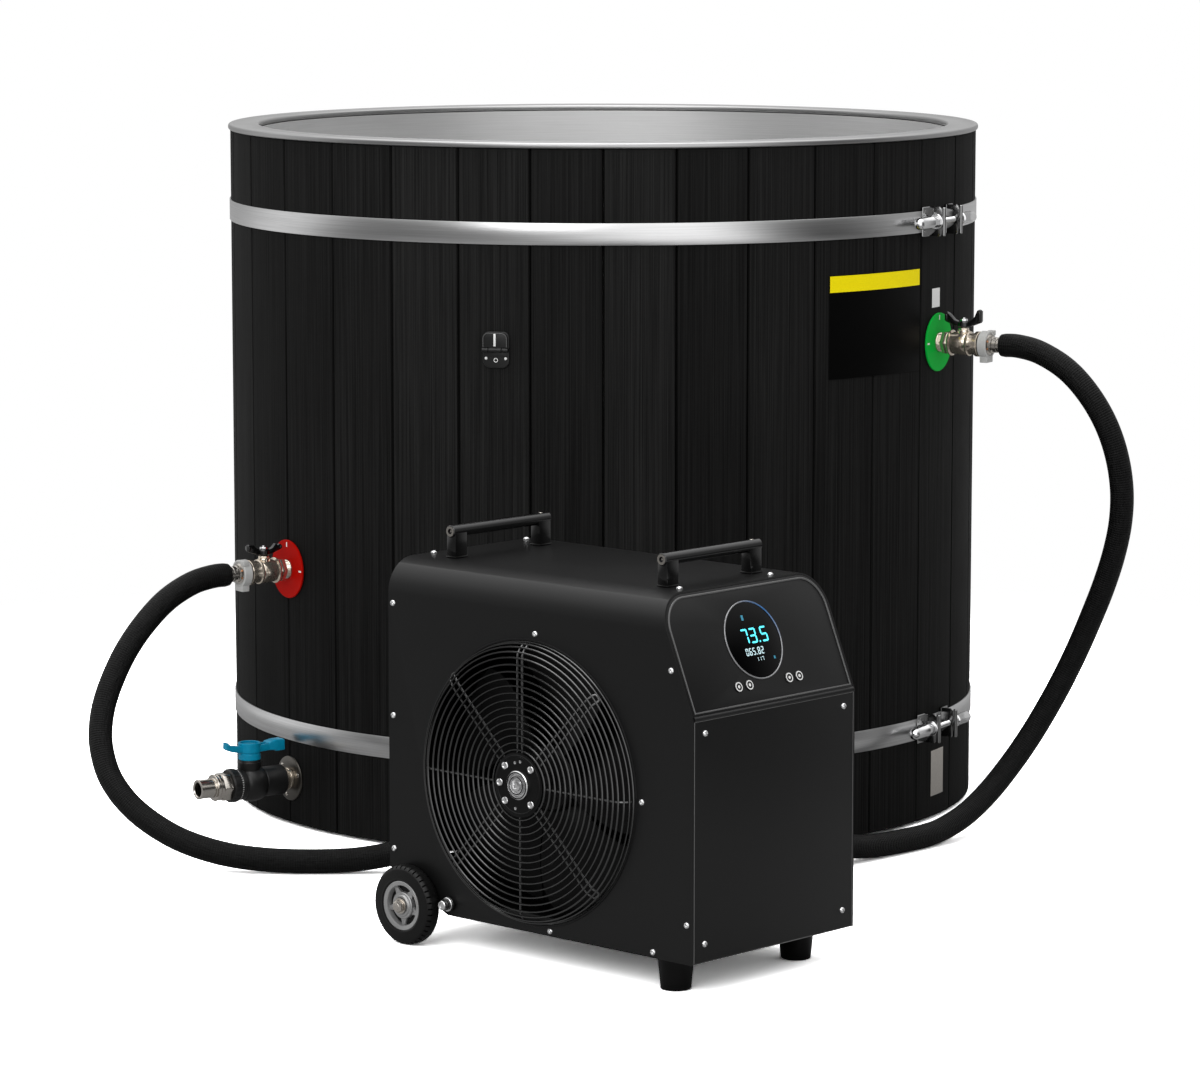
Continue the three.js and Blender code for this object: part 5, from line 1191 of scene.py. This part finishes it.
def buildControls():
    s, c = chillerSettings, controlSettings
    sheet, proud, display, button = pick(c, "sheet glassProud display button")
    inset = sheet + fitGap
    panel = slab([(y, upSlope(z)) for y, z in sectionPoints(inset, s["kinkZ"] + fitGap)], sheet, 0.5)
    displayUp, buttonUp = upSlope(c["displayZ"]), upSlope(c["buttonZ"])
    holes = [moved(drill(display + fitGap, 10, -5, 96), at(0, c["displayY"], displayUp))]
    holes += [moved(drill(button + fitGap, 10, -5, 40), at(0, y, buttonUp)) for y in c["buttons"]]
    panel = carved(moved(panel, at(-sheet) @ standingX), holes)
    low = s["kinkZ"] + c["beadInset"]
    foot = (c["beadX"], 0, upSlope(low))
    route = [(c["beadX"], y, upSlope(z)) for y, z in sectionPoints(c["beadInset"], low)]
    # The bead takes the lighter finish, a painted highlight line round the panel
    bead = swept([foot, *route, foot], c["bead"], 10)
    half = s["halfDepth"] - inset
    ledge = swept([(1.4 - c["ledgeRadius"], y, 0.6) for y in (-half, 0, half)], c["ledgeRadius"], 24)
    piece("controlPanel", together(panel, tinted(bead, 1), ledge), "powderCoat edgeLine",
          controlPlace, replaces="control_panel")
    place = controlPlace @ at(0, c["displayY"], displayUp)
    glass = spun([(0, proud), (display - 1.2, proud), (display - 0.2, proud - 0.5), (display - 0.2, -4.2),
                  (0, -4.2)],
                 128, "X")
    piece("displayGlass", glass, "displayBlack", place, replaces="display_glass")
    rim = moved(ringOf(c["rim"], c["rimWire"], 12, 128, "X"), at(c["rimWire"] * 0.6))
    # Painted blue reflection: each point of the rim takes a share of blue by its angle
    layer = rim.verts.layers.float.new("blueReflectionShare")
    for v in rim.verts:
        turn = math.degrees(math.atan2(v.co.z, v.co.y))
        v[layer] = max(0, 1 - abs(turn - c["blueReflectionAt"]) / c["blueReflectionSpread"])
    piece("displayRim", rim, "displayRim", place)
    big, small = ([shape for row in c[rows] for shape in digitShapes(*row)]
                  for rows in ("bigFigures", "smallFigures"))
    marks = [brick((proud, *a), (proud + c["figureHeight"], *b), 0.05, 1) for a, b in c["marks"]]
    figures = together(*big, tinted(together(*small), 1), tinted(together(*marks), 2))
    piece("displayFigures", figures, "litCyan litWhite litDim", place, sharpAngle=25)
    end = c["buttonProud"]
    for i, y in enumerate(c["buttons"]):
        cap = spun([(0, -sheet), (button, -sheet), (button, end - 0.7), (button - 0.5, end - 0.1),
                    (button - 1.2, end), (0, end)], 48, "X")
        ring = hollow([(4.4, end - 0.1), (5.7, end - 0.1), (5.7, end + 0.08), (4.4, end + 0.08)], 48, "X")
        dot = rod(1.9, 0.2, 0.05, 24, "X", end - 0.08)
        piece(f"button{i + 1}", together(cap, tinted(together(ring, dot), 1)),
              "glossBlack whitePrint", controlPlace @ at(0, y, buttonUp), body=f"button_{i + 1}",
              replaces=f"button_{i + 1}")
    print("controls made")


buildCover()
buildScrews()
buildPanels()
buildControls()


# Fan: wire basket, rotor with swept blades, and the coil behind it
def buildGrille():
    f = fanSettings
    front, wire, spokeWire, spokeY, hub, lip = pick(f, "frontY wire spokeWire spokeY hub lip")
    rings = [ringOf(f["frontRing"] + f["pitch"] * i, wire, 6, 96, "Y", front) for i in range(f["frontCount"])]
    rings += [ringOf(radius, wire, 6, 112, "Y", depth) for radius, depth in f["backRings"]]
    outEnd = [(150, spokeY), (157, spokeY + 0.6), (162.5, spokeY + 3.6), (166.5, spokeY + 8.5), (168, -1.4)]
    routes = []
    for angle, start, side in ((0, 43, 0), (180, 43, 0), (270, 37, 0), (90, 36, -f["topGap"]),
                               (90, 36, f["topGap"])):
        routes.append((angle, [(radius, depth, side) for radius, depth in [(start, spokeY), *outEnd]]))
    gap = f["diagonalGap"]
    leg = [(31, spokeY, gap * 0.55), (44, spokeY, gap), (150, spokeY, gap), (160, spokeY + 1.5, gap),
           (166, spokeY + 6, gap)]
    bend = [(166 + 2.4 * math.sin(a), spokeY + 7.5, gap * math.cos(a))
            for a in [math.radians(i * 30) for i in range(1, 6)]]
    for angle in (45, 135, 225, 315):
        routes.append((angle, [*leg, *bend, *[(x, y, -z) for x, y, z in leg[::-1]]]))
    spokes = [moved(swept(route, spokeWire, 8), turned(-angle, "Y")) for angle, route in routes]
    plate = spun([(0, front - 1.2), (lip - 1.6, front - 1.2), (lip - 0.6, front - 2), (lip + 0.6, front - 2),
                  (lip + 1.4, front - 1.2), (f["plate"], front - 0.8), (f["plate"], front + 1.2),
                  (0, front + 1.2)],
                 96, "Y")
    metal = [spun([(0, front - 1), (hub, front - 1), (hub, front - 3.4), (hub - 1, front - 4.2),
                   (hub - 2.6, front - 4.2), (hub - 4, front - 2), (hub - 5.4, front - 2),
                   (hub - 6.2, front - 4.6), (hub - 7.8, front - 5.2), (hub - 9.2, front - 3),
                   (hub - 10.4, front - 3), (hub - 11, front - 6), (4, front - 6.6), (3.2, front - 5),
                   (0, front - 5)], 72, "Y")]
    grooves = [ringOf(hub - 7, 0.7, 6, 64, "Y", front - 4.9), ringOf(hub - 1.8, 0.7, 6, 64, "Y", front - 4.2)]
    bolt = [(0, 0), (4.6, 0), (4.8, -0.8), (4.2, -2), (2.6, -2.6), (1.8, -2), (0, -2)]
    rivet = [(0, 0), (2, 0), (1.8, -1), (0, -1.4)]
    heads = [(angle, f["boltAt"], bolt, 28) for angle in (45, 135, 225, 315, 180)]
    heads += [(angle, radius, rivet, 16) for angle, radius in ((100, 27), (82, 29), (262, 29))]
    for angle, radius, profile, steps in heads:
        metal.append(moved(spun(profile, steps, "Y"), turned(-angle, "Y") @ at(radius, front - 1)))
    grille = together(*rings, tinted(together(*metal), 1), tinted(together(*spokes), 2),
                      tinted(together(plate, *grooves), 3))
    piece("fanGrille", grille, "wireCoat polishedSteel spokeCoat rotorBlack", fanPlace,
          replaces="fan_grille")
    print("grille made")


rotorSettings = dict(setback=30, width=34, hub=40, radius=159, blades=5, thickness=2.6, bore=6.4,
                     rootSpread=24, tipSpread=34, tipRound=5, sweep=14, rise=13.5, riseLoss=3.5, sag=1.5)


def bladeShape():
    # A swept and twisted patch from hub to tip, thickened
    hub, tip, width, rootSpread, tipSpread = pick(rotorSettings, "hub radius width rootSpread tipSpread")
    tipRound, sweep, rise, riseLoss, sag = pick(rotorSettings, "tipRound sweep rise riseLoss sag")
    bm = bmesh.new()
    bmesh.ops.create_grid(bm, x_segments=14, y_segments=10, size=1)
    for v in bm.verts:
        out, side = (v.co.x + 1) / 2, v.co.y
        radius = hub - 3 + (tip - hub + 3) * out
        spread = rootSpread + (tipSpread - rootSpread) * out - tipRound * out ** 6
        x, z = polar(radius, side * spread + sweep * out ** 2)
        v.co = (x, width / 2 + side * (rise - riseLoss * out) * 0.98 - sag * (1 - side ** 2), z)
    bmesh.ops.recalc_face_normals(bm, faces=bm.faces)
    bmesh.ops.solidify(bm, geom=bm.faces[:], thickness=rotorSettings["thickness"])
    bmesh.ops.recalc_face_normals(bm, faces=bm.faces)
    return bm


def buildRotor():
    bore, hub, width, count, setback = pick(rotorSettings, "bore hub width blades setback")
    core = hollow([(bore, 0), (8, 0), (8, 3), (12, 4), (30, 3), (hub - 3, 1), (hub, 4), (hub, width - 3),
                   (hub - 2, width - 0.5), (bore, width - 0.5)], 64, "Y")
    blades = [moved(bladeShape(), turned(360 / count * i, "Y")) for i in range(count)]
    # The rotor's deeper black paints the shade inside the cabinet
    piece("fanRotor", together(core, *blades), "rotorBlack", fanPlace @ at(0, setback),
          body="fan_rotor", replaces="fan_rotor")


coilSettings = dict(low=44.3, high=344.3, fromX=-90, toX=210, fromY=106.7, toY=130.7, finPitch=3.2, fin=0.5,
                    frame=1.6, tubeY=12, tubeFrom=15, tubePitch=30, rows=10, tube=3.4, bendTube=3.2,
                    bendReach=9, header=8, headerLength=284)


def buildCoil():
    low, high, fromX, toX, fromY, toY = pick(coilSettings, "low high fromX toX fromY toY")
    pitch, fin, frameSheet, tubeY, rows = pick(coilSettings, "finPitch fin frame tubeY rows")
    first, step, radius, bendRadius, reach = pick(coilSettings, "tubeFrom tubePitch tube bendTube bendReach")
    header, headerLength = pick(coilSettings, "header headerLength")
    shapes = []
    for i in range(int((toX - fromX - 12) / pitch)):
        x = fromX + 6 + i * pitch
        shapes.append(brick((x, fromY + 0.5, low + 2), (x + fin, toY - 0.5, high - 2), 0))
    for x in (fromX, toX - frameSheet):
        shapes.append(brick((x, fromY, low), (x + frameSheet, toY, high), 0.4, 1))
    for z in (low, high - frameSheet):
        shapes.append(brick((fromX, fromY, z), (toX, toY, z + frameSheet), 0.4, 1))
    y = fromY + tubeY
    tubes = [moved(rod(header, headerLength, 2), at(fromX, y, low + header))]
    for row in range(rows):
        z = low + first + row * step
        tubes.append(swept([(fromX + 1, y, z), (60, y, z), (toX - 1, y, z)], radius))
        if row % 2 == 0:
            bend = [(toX + 0.5 + reach * math.sin(a), y, z + step / 2 * (1 - math.cos(a)))
                    for a in [math.radians(i * 15) for i in range(13)]]
            tubes.append(swept(bend, bendRadius))
    # The fins' dark metal paints the shade inside the cabinet
    piece("condenserCoil", together(*shapes, tinted(together(*tubes), 1)), "coilFins copperDot",
          chillerPlace, replaces="condenser_coil")
    print("coil made")


buildGrille()
buildRotor()
buildCoil()


def mirrored(profile):
    return profile + [(radius, -height) for radius, height in profile[::-1]]


# Carrying handles: a round bar on two square posts
handleSettings = dict(places=dict(left=-196, right=152), offset=-6, half=86, radius=7.5, barZ=504,
                      postWidth=15, postLength=20, postInset=12, foot=471.3, footProud=0.9, footHeight=2.2)


def buildHandles():
    half, r, barZ, foot, proud, footHeight = pick(handleSettings,
                                                  "half radius barZ foot footProud footHeight")
    places, offset, width, length, inset = pick(handleSettings,
                                                "places offset postWidth postLength postInset")
    w = width / 2
    for name, x in places.items():
        bar = spun(mirrored([(0, -half + 2.2), (3.2, -half + 2.2), (3.2, -half + 0.4), (4, -half),
                             (r - 0.8, -half), (r, -half + 0.8)]), 48, "Y")
        shapes, metal = [moved(bar, at(0, 0, barZ))], []
        for side in (-1, 1):
            end, middle = side * half, side * (half - inset)
            low, high = middle - length / 2, middle + length / 2
            cap = hollow([(3.4, 0), (6.3, 0), (6.3, 0.35), (3.4, 0.35)], 48, "Y",
                         end if side > 0 else end - 0.35)
            screw = spun([(0, 0), (1.3, 0), (1.5, 0.8), (1.3, 1.6), (0, 1.6)], 20, "Y")
            metal += [moved(cap, at(0, 0, barZ)), moved(screw, at(0, end - side * 2.2 - 0.8, barZ))]
            shapes.append(brick((-w, low, foot + 1.6), (w, high, barZ - 2), 0.8))
            shapes.append(brick((-w - proud, low - proud, foot), (w + proud, high + proud, foot + footHeight),
                                0.6))
        metal.append(moved(spun([(0, 0), (2.6, 0), (2.4, 0.6), (0, 0.9)], 16),
                           at(0, half - inset, barZ + r - 0.2)))
        piece(f"{name}Handle", together(*shapes, tinted(together(*metal), 1)),
              "glossBlack satinSteel", chillerPlace @ at(x, offset), replaces=f"handle_{name}")
    print("handles made")


# Wheels: tyre with shoulder notches, grey rim, five short spokes, stepped hub
wheelSettings = dict(x=-207, y=158.6, z=49, radius=49, half=11, rimOut=31.2, rimIn=24.5, hub=16.5, bore=6.4,
                     notches=40, notchInset=3.5, notchHalf=3.2, spokes=5, spokeInset=7.5, spokeThickness=4,
                     firstSpoke=20)


def wheelShape(side):
    radius, half, rimOut, rimIn, hub, bore = pick(wheelSettings, "radius half rimOut rimIn hub bore")
    notches, notchInset, notchHalf = pick(wheelSettings, "notches notchInset notchHalf")
    spokes, spokeInset, thick, firstSpoke = pick(wheelSettings, "spokes spokeInset spokeThickness firstSpoke")
    tyre = hollow(mirrored([(rimOut - 1, -half + 1), (rimOut + 1.5, -half), (rimOut + 4, -half + 0.6),
                            (radius - 5.5, -half + 0.4), (radius - 3.5, -half + 1), (radius - 0.8, -half + 4),
                            (radius, -half + 6.5)]), 96, "Y")
    cutters = []
    for i in range(notches):
        for edge in (-1, 1):
            y = edge * (half - notchInset)
            cutter = brick((radius - 3.2, y - notchHalf, -1), (radius + 3, y + notchHalf, 1), 0)
            cutters.append(moved(cutter, turned(360 / notches * (i + edge * 0.25), "Y")))
    tyre = carved(tyre, [together(*cutters)])

    def ring(points):
        # Points give a radius and a distance inwards from the outer face
        return hollow([(reach, side * (half - inward)) for reach, inward in points], 80, "Y")

    rim = ring([(rimOut - 1.4, 0.6), (rimOut - 0.4, 1.2), (rimOut, 3), (rimOut, 20), (rimIn, 20),
                (rimIn, 3.2), (rimIn + 0.8, 1.6), (rimIn + 2.4, 1.2)])
    dish = ring([(rimIn + 0.3, 9), (rimIn + 0.3, 12), (bore, 12), (bore, 9)])
    middle = ring([(bore, 1.4), (10.4, 1.4), (10.8, 0.4), (12.6, 0.2), (13.4, 1), (14, 2.2), (15.8, 2.4),
                   (hub, 3.2), (hub, 19.5), (bore, 19.5)])
    spoke = [(13, -6.5), (hub + 3, -3.6), (rimIn + 1, -2.6), (rimIn + 1, 2.6), (hub + 3, 3.6), (13, 6.5)]
    grey = [rim, middle]
    for i in range(spokes):
        lain = moved(across(spoke, thick, 0.7), at(0, side * (half - spokeInset)))
        grey.append(moved(lain, turned(360 / spokes * i + firstSpoke, "Y")))
    return together(tyre, dish, tinted(together(*grey), 1))


gearSettings = dict(axle=6, plateY=140.7, plateThickness=4, footX=191, footY=108, spigotX=-145, spigotZ=57)


def buildRunningGear():
    x, y, z, half = pick(wheelSettings, "x y z half")
    axle, plateY, thick, footX, footY = pick(gearSettings, "axle plateY plateThickness footX footY")
    nutAt = y + half + fitGap
    shapes = [moved(rod(axle, nutAt * 2, 0.5, 32, "Y", -nutAt), at(x, 0, z))]
    sides = {"front": -1, "rear": 1}
    for name, side in sides.items():
        piece(f"{name}Wheel", wheelShape(side), "tyreBlack wheelGrey",
              chillerPlace @ at(x, side * y, z), body=f"wheel_{name}", replaces=f"wheel_{name}")
        washer = hollow([(5, 0), (9.8, 0), (9.8, 1.2), (5, 1.2)], 40, "Y")
        tip = spun([(0, 5.8), (4, 5.8), (3.6, 6.6), (0, 7)], 24, "Y")
        end = moved(together(washer, hexNut(8.2, 5, 0.9, "Y", 1.2), tip), at(0, nutAt))
        shapes.append(moved(end, at(x, 0, z) @ turned(0 if side > 0 else 180)))
        outline = [(-220, 41), (-218, 39), (-196, 39), (-194, 41), (-194, 67.2), (-220, 79.4)]
        shapes.append(moved(across(outline, thick, 0.5), at(0, side * plateY)))
    piece("wheelAxle", together(*shapes), "satinSteel", chillerPlace, replaces="wheel_axle")
    for name, side in sides.items():
        foot = spun([(0, 0), (16.4, 0), (18, 0.6), (18.4, 2), (18.8, 6), (21.4, 34), (22, 36), (22, 41),
                     (21.4, 41.7), (0, 41.7)], 72)
        piece(f"{name}Foot", foot, "footBlack", chillerPlace @ at(footX, side * footY),
              replaces=f"foot_{name}")
    # Drain spigot: chrome tube in a black ring on a dark boss
    tip = hollow([(3.6, -161.4), (5.2, -161.4), (6, -160.6), (6, -157.8), (5.4, -157.2), (5.4, -155),
                  (3.6, -155)], 48, "Y")
    plug = hollow([(0, -160.6), (3.8, -160.6), (3.8, -156), (0, -156)], 6, "Y")
    band = hollow([(2, -156), (6.2, -156), (6.6, -155.4), (6.6, -153.2), (6.2, -152.6), (2, -152.6)], 48, "Y")
    ring = hollow([(2, -152.8), (8.2, -152.8), (8.8, -152.2), (8.8, -150.9), (8.2, -150.4), (2, -150.4)], 56,
                  "Y")
    boss = spun([(0, -150.6), (8, -150.6), (9, -149.6), (9, -145.3), (0, -145.3)], 56, "Y")
    piece("drainSpigot", together(tip, plug, ring, tinted(together(band, boss), 1)),
          "polishedSteel glossBlack", chillerPlace @ at(gearSettings["spigotX"], 0, gearSettings["spigotZ"]),
          replaces="drain_spigot")
    print("running gear made")


# Hose ports on the rear: a straight union and an elbow
portSettings = dict(returnX=-200, supplyX=-140, z=125, inside=137, seat=145.3, supplyTo=204.7, elbowY=206,
                    armTo=-239.7, radius=15, flange=20, bore=8, kneeRound=8, collarAt=-26)


def buildPorts():
    returnX, supplyX, height, inside, seat = pick(portSettings, "returnX supplyX z inside seat")
    end, y, armTo, r, flange, bore = pick(portSettings, "supplyTo elbowY armTo radius flange bore")
    nutAt, knee = seat + 4.2, portSettings["kneeRound"]
    flanged = [(r, inside), (r, seat), (flange - 0.8, seat), (flange, seat + 0.8), (flange, seat + 3.4),
               (flange - 0.8, nutAt), (r, nutAt)]

    def lockNut():
        return moved(bored(hexNut(flange + 0.6, 8, 1, "X", nutAt), r - 1, nutAt - 2, nutAt + 12), turned(90))

    straight = hollow([(bore, inside), *flanged, (r, end - 16), (r + 1.4, end - 15), (r + 1.4, end - 12),
                       (r, end - 11), (r, end - 0.8), (r - 0.8, end), (bore, end)], 64, "Y")
    piece("supplyPort", together(straight, lockNut()), "greyPlastic",
          chillerPlace @ at(supplyX, 0, height), replaces="supply_port")
    stub = spun([(0, inside), *flanged, (r, y - 18), (r + 1.2, y - 17.5), (r + 1.2, y - 15), (r, y - 14.5),
                 (r, y - 6), (0, y - 6)], 64, "Y")
    bend = [(x, along, 0) for x, along in arcPoints(-knee, y - knee, knee, 15, 90, 5)]
    arm = swept([(0, y - 8, 0), (0, y - 6, 0), *bend, (-14, y, 0), (armTo - returnX, y, 0)], r, 40)
    elbow = carved(arm, [moved(drill(bore, 30, armTo - returnX - 4), at(0, y))])
    collar = hollow([(r - 0.5, 0), (r + 1.2, 0.4), (r + 1.2, 4), (r - 0.5, 4.4)], 56, "X",
                    portSettings["collarAt"])
    piece("returnPort", together(stub, elbow, moved(collar, at(0, y)), lockNut()),
          "greyPlastic", chillerPlace @ at(returnX, 0, height), replaces="return_port")
    print("ports made")


buildHandles()
buildRunningGear()
buildPorts()

# Floor, white surroundings and soft lamps
stageSettings = dict(floorSize=40, floorTone=0.8, cameraTone=0.96, cameraLayers=4, mirroredTone=0.4,
                     middle=(0, 0.35, 0), nearRadius=1.35, farRadius=2.3, worldStrength=0.72,
                     overheadFrom=(0.3, 0.8), overheadGlow=1.7,
                     # how bright reflections are, by the angle from the camera's side to the right
                     roomGlow=((-180, 0.45), (-140, 0.5), (-110, 1), (-92, 0.6), (-74, 0.22), (-48, 0.24),
                               (-34, 0.26), (-18, 0.55), (-3, 1.15), (26, 1.7), (42, 1.1), (55, 0.12),
                               (66, 0.05), (84, 0.2), (106, 0.5), (145, 0.6), (180, 0.45)))


def mixed(tree, share, first, second):
    return addNode(tree, "MixShader", {0: share, 1: first, 2: second}).outputs[0]


def matt(tree, tone):
    return addNode(tree, "BsdfDiffuse", {"Color": (tone, tone, tone, 1)}).outputs[0]


def shining(tree, kind, strength=1):
    return addNode(tree, kind, {"Color": (1, 1, 1, 1), "Strength": strength}).outputs[0]


def buildFloor(glow):
    s = stageSettings
    bm = bmesh.new()
    bmesh.ops.create_grid(bm, x_segments=1, y_segments=1, size=s["floorSize"] / 2)
    floor = linked("paleFloor", meshOf("paleFloor", bm))
    material = bpy.data.materials.new("paleFloor")
    material.use_nodes = True
    tree = material.node_tree
    tree.nodes.clear()
    lie = addNode(tree, "TexCoord").outputs["Object"]
    centred = addNode(tree, "VectorMath", {0: lie, 1: s["middle"]}, operation="ADD").outputs[0]
    away = addNode(tree, "VectorMath", {0: centred}, operation="LENGTH").outputs["Value"]
    far = mapped(tree, away, s["nearRadius"], s["farRadius"], interpolation_type="SMOOTHSTEP")
    # The camera sees the floor lit white, with its shadows, and plain white further out
    seen = matt(tree, s["cameraTone"])
    for layer in range(s["cameraLayers"] - 1):
        seen = addNode(tree, "AddShader", {0: seen, 1: matt(tree, s["cameraTone"])}).outputs[0]
    forCamera = mixed(tree, far, seen, shining(tree, "Emission"))
    room = shining(tree, "Emission", placeGroup(tree, glow, {"Vector": lie})["Value"])
    forGlossy = mixed(tree, far, matt(tree, s["mirroredTone"]), room)
    path = addNode(tree, "LightPath").outputs
    other = mixed(tree, path["Is Glossy Ray"], matt(tree, s["floorTone"]), forGlossy)
    addNode(tree, "OutputMaterial", {"Surface": mixed(tree, path["Is Camera Ray"], other, forCamera)})
    floor.data.materials.append(material)


def buildWorld(glow):
    world = bpy.data.worlds.new("softWhite")
    bpy.context.scene.world = world
    world.use_nodes = True
    tree = world.node_tree
    tree.nodes.clear()
    direction = addNode(tree, "TexCoord").outputs["Generated"]
    room = shining(tree, "Background", placeGroup(tree, glow, {"Vector": direction})["Value"])
    path = addNode(tree, "LightPath").outputs
    shown = maths(tree, "MAXIMUM", path["Is Camera Ray"], path["Is Transmission Ray"])
    around = mixed(tree, path["Is Glossy Ray"], shining(tree, "Background", stageSettings["worldStrength"]),
                   room)
    addNode(tree, "OutputWorld", {"Surface": mixed(tree, shown, around, shining(tree, "Background"))})


lampSettings = dict(topLamp=dict(place=(-0.3, -0.6, 4.6), aim=(-0.1, -0.4, 0), size=4, power=90),
                    frontLamp=dict(place=(-1.6, -4.4, 2.6), aim=(0, -0.4, 0.45), size=3, power=60))


def buildLamps():
    for name, settings in lampSettings.items():
        data = bpy.data.lights.new(name, "AREA")
        data.shape = "DISK"
        place, aim, data.size, data.energy = pick(settings, "place aim size power")
        lamp = linked(name, data)
        lamp.location = place
        lamp.rotation_euler = (Vector(aim) - Vector(place)).to_track_quat("-Z", "Y").to_euler()


glowGroup = roomGlowGroup(stageSettings)
buildFloor(glowGroup)
buildWorld(glowGroup)
buildLamps()
bpy.context.scene.view_settings.view_transform = "Standard"
print("scene made")
